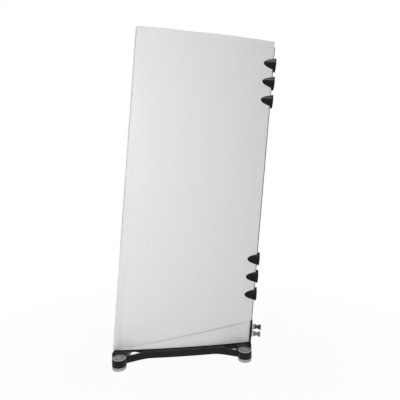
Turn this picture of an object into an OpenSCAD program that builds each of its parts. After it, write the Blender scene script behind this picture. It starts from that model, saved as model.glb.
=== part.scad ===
// Raked floorstanding loudspeaker with a boat-tail cabinet, a ribbon tweeter,
// four cone drivers, six reflex ports at the rear and an outrigger plinth.
// The front faces -Y, +Z is up, +X is to the right of a listener who faces the front,
// and the origin lies on the floor under the middle of the whole object.

/* [Cabinet] */
// Height of the front top edge above the floor
front_height = 1320; // [1150:10:1450]
// Depth of the cabinet, square to the front baffle
cabinet_depth = 554; // [500:1:620]
// Width across the front baffle
front_width = 240; // [226:1:270]
// Width across the rear edge
rear_width = 30; // [26:1:36]
// Radius of the long curve of each side in plan
side_radius = 2900; // [2400:50:3600]
// Angle by which the cabinet leans back
rake_angle = 5; // [3:0.5:7]
// Angle by which the lid falls to the rear
lid_slope = 4; // [2:0.5:5]
// Thickness of the side walls
side_wall = 20; // [15:1:24]
// Thickness of the front baffle
baffle_t = 36; // [30:1:42]
// Thickness of the lid
lid_t = 22; // [16:1:28]
// Thickness of the bottom panel
bottom_t = 22; // [16:1:28]
// Radius of the baffle's upright edges
front_edge_r = 14; // [8:1:18]
// Radius of the lid's front edge
lid_edge_r = 10; // [5:1:14]
// Height of the shadow gap between the cabinet and the plinth
shadow_gap = 2; // [1:0.5:4]

/* [Crease and wedge] */
// Angle at which the crease rises from the front foot of the side
crease_rise = 9.3; // [7:0.1:11]
// Inward draft of the wedge below the crease
wedge_draft = 2.5; // [1.5:0.5:4]

/* [Inner panels] */
// Thickness of the partition between the chambers
partition_t = 18; // [12:1:22]
// Thickness of the window braces
brace_t = 16; // [12:1:18]
// Width of the rim that a brace keeps round its windows
brace_rim = 16; // [12:1:20]

/* [Cone drivers] */
// Distance from the baffle's top down to the mid-woofer's centre
mid_drop = 155; // [145:1:160]
// Distance between the woofers' centres
woofer_pitch = 195; // [190:1:200]
// Radius of a driver's outer flange
flange_r = 82; // [80:1:85]
// Thickness of a driver's flange
flange_t = 6; // [4:0.5:8]
// Outer radius of a cone
cone_r = 52; // [48:1:54]
// Depth of a cone
cone_depth = 28; // [24:1:32]
// Radius of the voice coil's former
coil_r = 19; // [17:0.5:20]
// Radius of a driver's magnet
magnet_r = 55; // [50:1:60]
// Travel of a cone each way from rest
cone_travel = 4; // [3:0.5:5]

/* [Ribbon tweeter] */
// Clear baffle between the mid-woofer's flange and the tweeter's faceplate
tweeter_gap = 24; // [22:1:30]
// Clear baffle between the tweeter's faceplate and the highest woofer's flange
woofer_gap = 44; // [38:1:50]
// Width of the tweeter's faceplate
faceplate_w = 104; // [96:1:116]
// Height of the tweeter's faceplate
faceplate_h = 128; // [120:1:132]
// Thickness of the tweeter's faceplate
faceplate_t = 5; // [4:0.5:7]
// Width of the ribbon
ribbon_w = 14; // [10:1:18]
// Height of the ribbon
ribbon_h = 72; // [60:1:76]

/* [Reflex ports] */
// Distance from the baffle's top down to the highest port
upper_port_drop = 81; // [73:1:89]
// Height of the top one of the three low ports
lower_port_z = 398; // [392:1:404]
// Distance between neighbouring ports
port_pitch = 74.4; // [70:0.1:78]
// Outer radius of a port's body
port_r = 26; // [24:0.5:28]
// Radius of a port's throat
throat_r = 20; // [17:0.5:21]
// Radius of a port's rear flange
port_flange_r = 28.5; // [28.5:0.5:31]
// Thickness of a port's rear flange
port_flange_t = 3; // [2:0.5:4]
// How far a port stands out behind the cabinet
port_reach = 12; // [9:0.5:15]
// Length of a port inside the rear edge
port_len = 120; // [100:5:140]
// How far the black spine stands out behind the cabinet
spine_proud = 3; // [2:0.5:4]

/* [Terminals] */
// Height of the upper binding post up the rear edge
post_z = 109; // [106:1:112]
// Distance between the binding posts
post_pitch = 30; // [29:0.5:31]
// Radius of a binding post's collar
collar_r = 14.4; // [12:0.1:14.4]
// Thickness of a binding post's collar
collar_t = 10; // [8:0.5:12]
// Radius of a binding post's threaded stem
stem_r = 4; // [3.5:0.1:4.5]
// Radius of the banana socket in a stem's end
socket_r = 2; // [2:0.01:2.05]
// Length of a binding post's knob
knob_len = 26; // [22:1:30]
// Radius of a knob's flared end
knob_r = 11; // [9.5:0.5:12]
// Thickness of the terminal plate
plate_t = 13; // [11:0.5:15]
// Width of the terminal plate
plate_w = 44; // [40:1:48]

/* [Plinth] */
// Thickness of the plinth
plinth_t = 25; // [20:1:30]
// How far the plinth shows outside the cabinet's sides
plinth_margin = 22; // [16:1:26]
// Distance of a front foot from the middle plane
front_foot_x = 185; // [178:1:192]
// Distance of the front feet behind the cabinet's front edge
front_foot_y = 50; // [46:1:54]
// Distance of a rear foot from the middle plane
rear_foot_x = 95; // [92:1:100]
// Distance of the rear feet behind the cabinet's front edge
rear_foot_y = 531; // [526:1:536]
// Radius of the bosses that carry the feet
boss_r = 27.5; // [27:0.5:30]
// Thickness of the blade outside each window
blade_t = 7; // [5:0.5:9]

/* [Feet] */
// Radius of the slotted disc on a foot
disc_r = 25.5; // [23:0.5:26]
// Thickness of the slotted disc
disc_t = 4; // [3:0.5:6]
// Radius of a foot's pad
pad_r = 26.5; // [24:0.5:27]
// Height of a foot's pad below the plinth
pad_h = 13; // [11:1:16]
// Radius of a foot's spindle
spindle_r = 7; // [6:0.5:8]
// Radius of the bore in each boss
boss_bore_r = 12; // [11:0.5:13]
// Radial running clearance of spindles, sleeves and knobs
run_gap = 0.05; // [0.03:0.01:0.08]

/* [Hidden] */

$fn = 64;
// Number of steps of the very large side circles
side_fn = 720;
// Edge of the blocks that stand for half of space
far = 4000;
// How far a column runs past what cuts it
over = 100;
// How far the plinth's rounding circles cross the edges that they run into
edge_cross = 0.02;

// --- Levels and places

plinth_top = pad_h + plinth_t;
base_z = plinth_top + shadow_gap;
// Length of the front baffle, from the base to the front top edge
baffle_len = (front_height - base_z) / cos(rake_angle);
// Heights up the baffle, worked out from its top down
mid_z = baffle_len - mid_drop;
tweeter_z = mid_z - flange_r - tweeter_gap - faceplate_h / 2;
woofer_z = tweeter_z - faceplate_h / 2 - woofer_gap - flange_r - 2 * woofer_pitch;
upper_port_z = baffle_len - upper_port_drop;
// Depth of the cabinet along the floor
base_depth = cabinet_depth / cos(rake_angle);
// Slope of the lid against the square to the baffle
lid_tilt = rake_angle - lid_slope;
// Slope of the crease against the square to the baffle
crease_tilt = rake_angle + crease_rise;
// Depth of the seat that the terminal plate takes from the tail
plate_seat = 8;
// Height of the crease up that seat, which is where the terminal plate ends
plate_top = (cabinet_depth - plate_seat) * tan(crease_tilt);
plate_proud = plate_t - plate_seat;
plinth_front = 8;
plinth_rear = base_depth + 6;
// The object's outermost points at the front and at the rear, which set its middle
front_limit = min(plinth_front, front_foot_y - boss_r);
rear_limit = (cabinet_depth + port_reach) * cos(rake_angle)
    + (upper_port_z + port_flange_r) * sin(rake_angle);
base_y = -(front_limit + rear_limit) / 2;

driver_z = [for (i = [0:2]) woofer_z + i * woofer_pitch, mid_z];
port_z = concat(
    [for (i = [0:2]) upper_port_z - i * port_pitch],
    [for (i = [0:2]) lower_port_z - i * port_pitch]);
post_heights = [post_z, post_z - post_pitch];
feet = [
    [front_foot_x, front_foot_y], [-front_foot_x, front_foot_y],
    [rear_foot_x, rear_foot_y], [-rear_foot_x, rear_foot_y]];

// --- Driver details, measured from the face of the baffle

cone_edge_z = -flange_t;
cone_t = 1.2;
neck_z = cone_edge_z - cone_depth;
roll_r = 5.4;
surround_t = 0.8;
rim_w = 1.6;
// Radius of the opening inside a driver's flange
mouth_r = cone_r + 2 * roll_r + rim_w;
former_t = 0.5;
coil_t = 0.7;
gap_t = 0.5;
spider_t = 0.8;
spider_seat_r = 46;
basket_wall = 4;
spider_seat_t = 2.5;
// The spider sits this far behind the cone's neck
spider_z = neck_z - 5;
basket_back_z = neck_z - 20;
back_plate_t = 4;
top_plate_t = 6;
ferrite_t = 18;
yoke_t = 6;
basket_back_r = 50;
basket_front_r = flange_r - 12;
// The ledge that carries the surround's rim
ledge_r = cone_r + 2 * roll_r - rim_w;
ledge_z = -flange_t - basket_wall;
// Inner radius of the basket's wall at height z
function basket_wall_r(z) = basket_back_r - basket_wall
    + (basket_front_r - basket_back_r) * (z - basket_back_z) / (-flange_t - basket_back_z);
magnet_depth = basket_back_z - back_plate_t - top_plate_t - ferrite_t - yoke_t;
coil_end_z = basket_back_z - back_plate_t - top_plate_t - cone_travel;
screw_pcr = flange_r - 7;
screw_r = 2.2;
screw_head_r = 4.2;
screw_head_t = 2.8;
screw_len = 24;
screws_each = 6;

// --- Tweeter details

housing_w = faceplate_w - 30;
housing_h = faceplate_h - 26;
housing_depth = 44;
flare_depth = faceplate_t + 4;
flare_grow = 7;
tweeter_screw_x = faceplate_w / 2 - 8;
tweeter_screw_z = faceplate_h / 2 - 8;

// --- Terminal details

washer_r = 9;
washer_t = 2;
stem_inner = 45;
socket_depth = 20;
knob_start = collar_t + washer_t;
stem_outer = knob_start + knob_len - 1.5;

// --- Foot details

sleeve_r = boss_bore_r - run_gap;
sleeve_top = plinth_top - 6;
sleeve_floor = 6;
disc_slots = 12;

// --- Panels inside the cabinet and the crossover

// The partition's underside stands this far above the highest woofer's flange
partition_gap = 6;
partition_z = tweeter_z - faceplate_h / 2 - woofer_gap + partition_gap + partition_t / 2;
brace_heights = [
    woofer_z + woofer_pitch / 2, woofer_z + 1.5 * woofer_pitch,
    tweeter_z + faceplate_h / 2 + tweeter_gap / 2];
panel_depth = cabinet_depth - port_len - 20;
spine_key = 9;
spine_key_w = 16;
mouth_flare = 6;
bolt_r = 4;
board_w = 84;
board_len = 210;
board_t = 3;
board_y = 150;
standoff = 8;
board_z = bottom_t + standoff;
wire_r = 2;
wire_y = 190;
// How far the wires' ends stay clear of what they run to
wire_gap = 0.8;

// ---------------------------------------------------------------- helpers

// Centre of the arc of radius r that runs from p to q and bulges towards +X
function arc_centre(p, q, r) =
    let (d = q - p, l = norm(d), rise = sqrt(r * r - l * l / 4))
    (p + q) / 2 + rise * [-d.y, d.x] / l;

// Centre of the long arc of the +X side, in plan square to the rake and at the base
side_centre = arc_centre([front_width / 2, 0], [rear_width / 2, cabinet_depth], side_radius);
base_centre = arc_centre([front_width / 2, 0], [rear_width / 2, base_depth], side_radius);

// Half the cabinet's width at depth y, less an inset
function half_width(y, inset = 0) =
    side_centre.x + sqrt(pow(side_radius - inset, 2) - pow(y - side_centre.y, 2));
// The same at the base, for the plinth's outline
function base_half_width(y, inset = 0) =
    base_centre.x + sqrt(pow(side_radius - inset, 2) - pow(y - base_centre.y, 2));

// Depth at which the inset side lies x from the middle plane
function depth_at(x, inset = 0) =
    side_centre.y + sqrt(pow(side_radius - inset, 2) - pow(x - side_centre.x, 2));
// The side walls close on each other behind this depth
cavity_depth = depth_at(2, side_wall);

function unit(v) = v / norm(v);
// Corner of a polygon inset by r from the two edges that meet there
function inset_corner(a, b, c, r) =
    let (u = unit(a - b), v = unit(c - b), half = acos(u * v) / 2)
    b + unit(u + v) * r / sin(half);
function foot_on_edge(p, a, b) = let (u = unit(b - a)) a + u * ((p - a) * u);

// Convex polygon with every corner rounded to radius r, whose circles may cross its edges a little
module rounded_polygon(points, r, cross = 0) {
    n = len(points);
    centres = [for (i = [0:n - 1])
        inset_corner(points[(i + n - 1) % n], points[i], points[(i + 1) % n], r)];
    polygon([for (i = [0:n - 1]) each [
        foot_on_edge(centres[i], points[(i + n - 1) % n], points[i]),
        foot_on_edge(centres[i], points[i], points[(i + 1) % n])]]);
    for (c = centres) translate(c) circle(r + cross, $fn = 48);
}
module rounded_rect(w, h, r)
    rounded_polygon([[-w, -h] / 2, [w, -h] / 2, [w, h] / 2, [-w, h] / 2], r);

// Everything on both sides of the middle plane
module both_sides() {
    children();
    mirror([1, 0, 0]) children();
}

// Frame of the cabinet: origin at the base's front edge, Z up the baffle, Y square to it
module raked() translate([0, base_y, base_z]) rotate([-rake_angle, 0, 0]) children();
// Frame of the plinth: origin on the floor below the cabinet's front edge
module level() translate([0, base_y, 0]) children();
// On the baffle at height z, with Z pointing out at the listener
module on_baffle(z) raked() translate([0, 0, z]) rotate([90, 0, 0]) children();
// On the rear edge at height z, with Z pointing out to the rear
module on_rear(z) raked() translate([0, cabinet_depth, z]) rotate([-90, 0, 0]) children();

// Half of space above a plane across the raked frame, tilted up to the rear
module above(tilt, z = 0)
    translate([0, 0, z]) rotate([tilt, 0, 0]) translate([-far / 2, -far / 2, 0]) cube(far);
module below(tilt, z = 0)
    translate([0, 0, z]) rotate([tilt, 0, 0]) translate([-far / 2, -far / 2, -far]) cube(far);
module below_lid() below(lid_tilt, baffle_len - lid_t);
module above_base() above(rake_angle);

// Plan of the cabinet between two depths, inset from its sides
module plan(inset = 0, y0 = 0, y1 = cabinet_depth) {
    intersection() {
        translate([-front_width, y0]) square([2 * front_width, y1 - y0]);
        translate(side_centre) circle(side_radius - inset, $fn = side_fn);
        mirror([1, 0]) translate(side_centre) circle(side_radius - inset, $fn = side_fn);
    }
}
// Plan with the two front corners rounded
module front_plan(y1) {
    d = side_radius - front_edge_r;
    cx = side_centre.x + sqrt(d * d - pow(front_edge_r - side_centre.y, 2));
    c = [cx, front_edge_r];
    on_side = side_centre + (c - side_centre) * side_radius / d;
    corner = [front_width, -front_edge_r];
    difference() {
        plan(0, 0, y1);
        both_sides() difference() {
            polygon([c, [c.x, corner.y], corner, [corner.x, on_side.y + 1], on_side]);
            translate(c) circle(front_edge_r, $fn = 96);
        }
    }
}
// Upright column of a plan, long enough to be cut by the base and the lid
module column() translate([0, 0, -over]) linear_extrude(baffle_len + 3 * over) children();

module port_holes(r) {
    for (z = port_z)
        translate([0, cabinet_depth - port_len, z]) rotate([-90, 0, 0]) cylinder(r = r, h = far);
}
// The six screw places round a driver
module round_screws() {
    for (i = [0:screws_each - 1])
        rotate(30 + i * 360 / screws_each) translate([screw_pcr, 0, 0]) children();
}
module tweeter_screws() {
    for (x = [-1, 1], z = [-1, 1])
        translate([x * tweeter_screw_x, z * tweeter_screw_z, 0]) children();
}

// ---------------------------------------------------------------- cabinet

// Wedge below the crease, whose sides lean in as they rise
module wedge() {
    lean = far / 8;
    intersection() {
        rotate([rake_angle, 0, 0]) intersection() {
            translate(base_centre) cylinder(
                h = lean, r1 = side_radius, r2 = side_radius - lean * tan(wedge_draft), $fn = side_fn);
            mirror([1, 0, 0]) translate(base_centre) cylinder(
                h = lean, r1 = side_radius, r2 = side_radius - lean * tan(wedge_draft), $fn = side_fn);
        }
        below(crease_tilt);
        translate([-far / 2, baffle_t, -far / 2])
            cube([far, cabinet_depth - plate_seat - baffle_t, far]);
    }
}

module cabinet_shell() color("white") raked() difference() {
    union() {
        intersection() {
            column() plan(0, baffle_t);
            above_base();
            above(crease_tilt);
            below_lid();
        }
        wedge();
    }
    column() plan(side_wall, baffle_t, cavity_depth);
    port_holes(port_r);
    translate([-spine_key_w / 2, cabinet_depth - spine_key, plate_top])
        cube([spine_key_w, far, far]);
    for (z = post_heights)
        translate([0, baffle_t, z]) rotate([-90, 0, 0]) cylinder(r = stem_r, h = far);
}

module front_baffle() color("white") difference() {
    raked() intersection() {
        column() front_plan(baffle_t);
        above_base();
        below_lid();
    }
    for (z = driver_z) on_baffle(z) {
        translate([0, 0, -flange_t]) cylinder(r = flange_r, h = far, $fn = 128);
        translate([0, 0, -baffle_t - 1]) cylinder(r = basket_front_r + 1, h = far, $fn = 128);
        round_screws() translate([0, 0, -screw_len]) cylinder(r = screw_r, h = far);
    }
    on_baffle(tweeter_z) {
        translate([0, 0, -faceplate_t]) linear_extrude(far)
            rounded_rect(faceplate_w, faceplate_h, 8);
        translate([0, 0, -baffle_t - 1]) linear_extrude(far)
            rounded_rect(housing_w, housing_h, 6);
        tweeter_screws() translate([0, 0, -screw_len]) cylinder(r = screw_r, h = far);
    }
}

module top_panel() color("white") raked() difference() {
    intersection() {
        column() front_plan(cabinet_depth);
        above(lid_tilt, baffle_len - lid_t);
        below(lid_tilt, baffle_len);
    }
    translate([0, 0, baffle_len]) rotate([lid_tilt, 0, 0]) difference() {
        translate([-far / 2, -far + lid_edge_r, -lid_edge_r]) cube([far, far, far]);
        translate([-far / 2, lid_edge_r, -lid_edge_r]) rotate([0, 90, 0])
            cylinder(r = lid_edge_r, h = far, $fn = 96);
    }
}

module bottom_panel() color("dimgray") raked() difference() {
    intersection() {
        column() plan(side_wall, baffle_t, cavity_depth);
        above(rake_angle, -shadow_gap / cos(rake_angle));
        below(rake_angle, bottom_t);
    }
    rotate([rake_angle, 0, 0]) bolt_places()
        translate([0, 0, -far / 2]) cylinder(r = bolt_r, h = far);
}

module partition_panel() color("burlywood") raked() difference() {
    translate([0, 0, partition_z - partition_t / 2]) linear_extrude(partition_t)
        plan(side_wall, baffle_t, panel_depth);
    for (i = [3, 4]) wire_place(i) translate([0, 0, -far / 2]) cylinder(r = wire_r, h = far);
}

// Panel across a chamber with two windows that keep a rim and a middle rib
module window_brace(z) {
    front = baffle_t + brace_rim;
    middle = (baffle_t + panel_depth) / 2;
    ends = [[front, middle - brace_rim / 2], [middle + brace_rim / 2, panel_depth - brace_rim]];
    translate([0, 0, z - brace_t / 2]) linear_extrude(brace_t) difference() {
        plan(side_wall, baffle_t, panel_depth);
        for (e = ends) plan(side_wall + brace_rim, e[0], e[1]);
    }
}
module window_braces() color("burlywood") raked() for (z = brace_heights) window_brace(z);

// T-shaped strip in the tail's groove, interrupted where the ports come through
module rear_spine() color([0.05, 0.05, 0.05]) raked() difference() {
    intersection() {
        column() {
            translate([-spine_key_w / 2, cabinet_depth - spine_key])
                square([spine_key_w, spine_key + spine_proud]);
            polygon([
                [-rear_width / 2, cabinet_depth], [rear_width / 2, cabinet_depth],
                [half_width(cabinet_depth + spine_proud), cabinet_depth + spine_proud],
                [-half_width(cabinet_depth + spine_proud), cabinet_depth + spine_proud]]);
        }
        translate([-far / 2, 0, plate_top]) cube(far);
        below_lid();
    }
    port_holes(port_r);
}

module terminal_plate() color([0.05, 0.05, 0.05]) raked() difference() {
    intersection() {
        translate([-plate_w / 2, cabinet_depth - plate_seat, 0])
            cube([plate_w, plate_t, plate_top]);
        above_base();
        translate([0, cabinet_depth + plate_t, 0]) rotate([90, 0, 0])
            linear_extrude(far) rounded_polygon([
                [-plate_w / 2, -plate_w], [plate_w / 2, -plate_w],
                [plate_w / 2, plate_top], [-plate_w / 2, plate_top]], 8);
    }
    for (z = post_heights)
        translate([0, baffle_t, z]) rotate([-90, 0, 0]) cylinder(r = stem_r, h = far);
}

// ---------------------------------------------------------------- ports

// Moulded reflex port: a plain body that breaks out of the tapered tail,
// a thin rear flange and a throat that flares at both ends
module port(i) color([0.06, 0.06, 0.06]) on_rear(port_z[i]) rotate_extrude($fn = 96)
    difference() {
        union() {
            translate([throat_r, -port_len]) square([port_r - throat_r, port_len + port_reach]);
            translate([throat_r, port_reach - port_flange_t])
                square([port_flange_r - throat_r - port_flange_t / 2, port_flange_t]);
            translate([port_flange_r - port_flange_t / 2, port_reach - port_flange_t / 2])
                circle(port_flange_t / 2, $fn = 32);
        }
        for (end = [[port_reach - mouth_flare, 0], [mouth_flare - port_len, 1]])
            translate([throat_r, end[0]]) mirror([0, end[1]]) difference() {
                translate([-1, 0]) square([mouth_flare + 1, mouth_flare + 1]);
                translate([mouth_flare, 0]) circle(mouth_flare, $fn = 64);
            }
    }

// ---------------------------------------------------------------- drivers

// Cast basket: flange, six windowed legs, spider seat and the back that carries the magnet
module basket(i) color([0.12, 0.12, 0.13]) on_baffle(driver_z[i]) difference() {
    rotate_extrude($fn = 128) {
        polygon([
            [ledge_r, ledge_z], [basket_wall_r(ledge_z), ledge_z],
            [basket_back_r - basket_wall, basket_back_z], [coil_r + 4, basket_back_z],
            [coil_r + 4, basket_back_z - back_plate_t],
            [basket_back_r, basket_back_z - back_plate_t], [basket_back_r, basket_back_z],
            [basket_front_r, -flange_t], [flange_r, -flange_t], [flange_r, 0],
            [mouth_r, 0], [mouth_r, -flange_t], [ledge_r, -flange_t]]);
        translate([spider_seat_r - 2, spider_z - spider_seat_t])
            square([basket_wall_r(spider_z - spider_seat_t) + 3 - spider_seat_r, spider_seat_t]);
    }
    for (k = [0:5])
        rotate(k * 60) translate([0, -14, neck_z + 3])
            cube([far, 28, -neck_z - flange_t - basket_wall - 5]);
    for (k = [0:5])
        rotate(k * 60) translate([coil_r + 8, -11, basket_back_z + 3])
            cube([far, 22, spider_z - spider_seat_t - 4 - basket_back_z]);
    round_screws() {
        translate([0, 0, -far / 2]) cylinder(r = screw_r, h = far);
        translate([0, 0, -screw_head_t]) cylinder(r = screw_head_r, h = far);
    }
}

// Motor: front plate, ferrite ring, and back yoke with a vented pole
module magnet(i) color([0.2, 0.2, 0.22]) on_baffle(driver_z[i]) {
    plate_z = basket_back_z - back_plate_t;
    yoke_z = plate_z - top_plate_t - ferrite_t;
    pole_r = coil_r - gap_t;
    rotate_extrude($fn = 96) {
        bore = coil_r + former_t + coil_t + gap_t;
        translate([bore, plate_z - top_plate_t]) square([magnet_r - 7 - bore, top_plate_t]);
        translate([coil_r + 8, yoke_z]) square([magnet_r - coil_r - 8, ferrite_t]);
        translate([8, yoke_z - yoke_t]) square([magnet_r - 13, yoke_t]);
        translate([8, yoke_z - 1]) square([pole_r - 8, ferrite_t + top_plate_t + 1]);
    }
}

// Cone with its dust cap, former and voice coil
module cone(i) color([0.85, 0.85, 0.86]) on_baffle(driver_z[i]) rotate_extrude($fn = 128) {
    neck_r = coil_r + former_t;
    // The dust cap is a dome of this radius that lands on the cone's face
    cap_r = 40;
    cap_seat_r = neck_r + 4;
    face_slope = (cone_edge_z - neck_z) / (cone_r - 2 - coil_r);
    cap_z = neck_z + cone_t + (cap_seat_r - coil_r) * face_slope - 0.4;
    cap_mid = cap_z - sqrt(cap_r * cap_r - cap_seat_r * cap_seat_r);
    polygon([
        [cone_r, cone_edge_z], [cone_r, cone_edge_z + cone_t],
        [cone_r - 2, cone_edge_z + cone_t], [coil_r, neck_z + cone_t],
        [coil_r, neck_z], [neck_r, neck_z]]);
    intersection() {
        translate([0, cap_z - 0.5]) square([cap_seat_r, 20]);
        translate([0, cap_mid]) difference() {
            circle(cap_r, $fn = 256);
            circle(cap_r - cone_t, $fn = 256);
        }
    }
    translate([coil_r, coil_end_z]) square([former_t, neck_z + cone_t / 2 - coil_end_z]);
    translate([coil_r + former_t / 2, coil_end_z])
        square([former_t / 2 + coil_t, top_plate_t + 2 * cone_travel]);
}

// Half-roll surround between the cone's edge and the basket's ledge
module surround(i) color([0.03, 0.03, 0.03]) on_baffle(driver_z[i]) rotate_extrude($fn = 128) {
    z = cone_edge_z;
    mid = cone_r + roll_r;
    intersection() {
        translate([cone_r, z]) square([2 * roll_r, 2 * roll_r]);
        translate([mid, z]) difference() {
            circle(roll_r, $fn = 96);
            circle(roll_r - surround_t, $fn = 96);
        }
    }
    translate([cone_r + 2 * roll_r - surround_t, z]) square([rim_w, surround_t]);
}

// Corrugated spider between the former and the basket's seat
module spider(i) color("goldenrod") on_baffle(driver_z[i]) rotate_extrude($fn = 96) {
    r0 = coil_r + former_t + 0.02;
    waves = 5;
    pitch = (spider_seat_r - r0) / waves;
    for (k = [0:waves - 1])
        translate([r0 + (k + 0.5) * pitch, spider_z]) intersection() {
            translate([-pitch / 2, 0]) square([pitch, pitch]);
            difference() {
                circle(pitch / 2 + 0.01, $fn = 48);
                circle(pitch / 2 - spider_t, $fn = 48);
            }
        }
    translate([spider_seat_r - spider_t, spider_z]) square([5, spider_t]);
}

module countersunk_screw(head_z) {
    translate([0, 0, head_z - screw_head_t]) cylinder(r = screw_head_r, h = screw_head_t - 0.2);
    translate([0, 0, -screw_len]) cylinder(r = screw_r, h = screw_len + head_z - screw_head_t);
}
module driver_screws() color("dimgray") {
    for (z = driver_z) on_baffle(z) round_screws() countersunk_screw(0);
    on_baffle(tweeter_z) tweeter_screws() countersunk_screw(0);
}

// ---------------------------------------------------------------- tweeter

// Trapezium whose base of width w lies at the back and grows to the front
module flare(w) polygon([
    [-w / 2, -flare_depth], [w / 2, -flare_depth],
    [w / 2 + flare_grow, 1], [-w / 2 - flare_grow, 1]]);

module tweeter_faceplate() color([0.1, 0.1, 0.11]) on_baffle(tweeter_z) difference() {
    translate([0, 0, -faceplate_t]) linear_extrude(faceplate_t)
        rounded_rect(faceplate_w, faceplate_h, 8);
    intersection() {
        rotate([90, 0, 0]) translate([0, 0, -far / 2]) linear_extrude(far) flare(ribbon_w);
        rotate([90, 0, 90]) translate([0, 0, -far / 2]) linear_extrude(far) flare(ribbon_h);
    }
    tweeter_screws() {
        translate([0, 0, -far / 2]) cylinder(r = screw_r, h = far);
        translate([0, 0, -screw_head_t]) cylinder(r = screw_head_r, h = far);
    }
}

// Magnet frame with an open channel behind the ribbon and a damped rear chamber
module tweeter_housing() color([0.25, 0.25, 0.27]) on_baffle(tweeter_z) difference() {
    translate([0, 0, -faceplate_t - housing_depth]) linear_extrude(housing_depth)
        rounded_rect(housing_w, housing_h, 6);
    translate([0, 0, -faceplate_t - housing_depth + 6]) linear_extrude(far)
        square([ribbon_w + 1, ribbon_h + 6], center = true);
    for (x = [-1, 1])
        translate([x * (ribbon_w / 2 + 13) - 5, -ribbon_h / 2, -faceplate_t - housing_depth + 6])
            cube([10, ribbon_h, housing_depth - 16]);
}

// Pleated ribbon clamped at its ends in the magnet frame
module tweeter_ribbon() color("silver") on_baffle(tweeter_z) {
    pleats = 36;
    step = ribbon_h / pleats;
    fold = 0.6;
    film = 0.25;
    z = -faceplate_t - 6;
    edge = [for (k = [0:pleats]) [-ribbon_h / 2 + k * step, z + (k % 2) * fold]];
    back = [for (k = [pleats:-1:0]) [-ribbon_h / 2 + k * step, z + (k % 2) * fold - film]];
    rotate([90, 0, 90]) translate([0, 0, -ribbon_w / 2]) linear_extrude(ribbon_w)
        polygon(concat([for (k = [pleats:-1:0]) edge[k]], [for (k = [pleats:-1:0]) back[k]]));
    for (s = [-1, 1])
        translate([-ribbon_w / 2 - 0.5, s * (ribbon_h / 2 + 1.5) - 1.5, z - 2])
            cube([ribbon_w + 1, 3, 4]);
}

// ---------------------------------------------------------------- crossover and wiring

module on_bottom(y = 0, z = 0)
    translate([0, base_y, base_z]) translate([0, board_y + y, z]) children();

module crossover_board() color("darkolivegreen") on_bottom() {
    translate([-board_w / 2, 0, board_z]) cube([board_w, board_len, board_t]);
    for (x = [-1, 1], y = [12, board_len - 12])
        translate([x * (board_w / 2 - 10), y, bottom_t]) cylinder(r = 4, h = standoff + 1);
}

module inductors() color([0.72, 0.42, 0.2]) on_bottom(0, board_z + board_t)
    for (x = [-1, 1], y = [105, 155])
        translate([x * 20.5, y, 0]) difference() {
            union() {
                cylinder(r = 19, h = 2);
                cylinder(r = 16.5, h = 20);
                translate([0, 0, 18]) cylinder(r = 19, h = 2);
            }
            translate([0, 0, -1]) cylinder(r = 7, h = 40);
        }

module capacitors() color("firebrick") on_bottom(0, board_z + board_t)
    for (y = [25, 60])
        translate([2, y, 13]) rotate([0, 90, 0]) cylinder(r = 13, h = 38);

module resistors() color("beige") on_bottom(0, board_z + board_t)
    for (k = [0:2])
        translate([-36, 10 + k * 9, 0]) cube([30, 6, 8]);

function wire_x(i) = -60 + 7 * i;
module wire_place(i) translate([wire_x(i), wire_y, 0]) children();

// Route with each of its inner points replaced by a bend of about radius r
function bent(route, r) = [
    route[0],
    for (k = [1:len(route) - 2])
        let (p = route[k] + unit(route[k - 1] - route[k]) * r,
             q = route[k] + unit(route[k + 1] - route[k]) * r)
        for (t = [0:0.25:1]) p * (1 - t) * (1 - t) + route[k] * 2 * t * (1 - t) + q * t * t,
    route[len(route) - 1]];

// Eight-sided wire swept along a route
module wire(route) {
    path = bent(route, 18);
    n = len(path);
    sides = 8;
    points = [for (k = [0:n - 1])
        let (dir = unit(path[min(k + 1, n - 1)] - path[max(k - 1, 0)]),
             u = unit(cross(dir, [1, 0, 0])), v = cross(dir, u))
        for (j = [0:sides - 1]) path[k] + wire_r * (cos(j * 45) * u + sin(j * 45) * v)];
    faces = concat(
        [[for (j = [0:sides - 1]) j]],
        [for (k = [0:n - 2], j = [0:sides - 1]) let (a = k * sides, m = (j + 1) % sides)
            [a + j, a + sides + j, a + sides + m, a + m]],
        [[for (j = [sides - 1:-1:0]) (n - 1) * sides + j]]);
    polyhedron(points, faces);
}

// Place on the level frame of the base, given in the raked frame
function to_raked(p) = [
    p.x, p.y * cos(rake_angle) - p.z * sin(rake_angle),
    p.y * sin(rake_angle) + p.z * cos(rake_angle)];

// One wire up to each driver and one from each binding post, all from the board
module internal_wiring() color("crimson") raked() {
    heights = [driver_z[0], driver_z[1], driver_z[2], tweeter_z, driver_z[3]];
    start = wire_y * tan(rake_angle) + (board_z + board_t) / cos(rake_angle) + wire_gap;
    tab = 44;
    for (i = [0:4]) {
        end = i == 3
            ? [wire_x(i) + 8, faceplate_t + housing_depth + 0.5, heights[i]]
            : [-basket_wall_r(-tab) - basket_wall - wire_r - 0.3, tab, heights[i]];
        beside = [min(wire_x(i), -magnet_r - wire_r - 3), -magnet_depth + 20, heights[i]];
        up = [[wire_x(i), wire_y, start], [wire_x(i), wire_y, heights[i]]];
        wire(i == 3 ? concat(up, [end]) : concat(up, [beside, end]));
    }
    for (i = [0:1]) {
        inner_end = cabinet_depth + plate_proud - stem_inner - wire_gap;
        foot = to_raked([8 - 16 * i, board_y + board_len - 12, board_z + board_t + wire_gap]);
        wire([foot, [foot.x, foot.y, post_heights[i]], [0, inner_end, post_heights[i]]]);
    }
}

// ---------------------------------------------------------------- terminals

module at_post(i) on_rear(post_heights[i]) translate([0, 0, plate_proud]) children();

module post_collars() color("silver") for (i = [0:1]) at_post(i) difference() {
    union() {
        cylinder(r = collar_r, h = 3);
        translate([0, 0, 3]) cylinder(r1 = collar_r, r2 = washer_r, h = collar_t - 3);
    }
    translate([0, 0, -1]) cylinder(r = stem_r, h = far);
}

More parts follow.
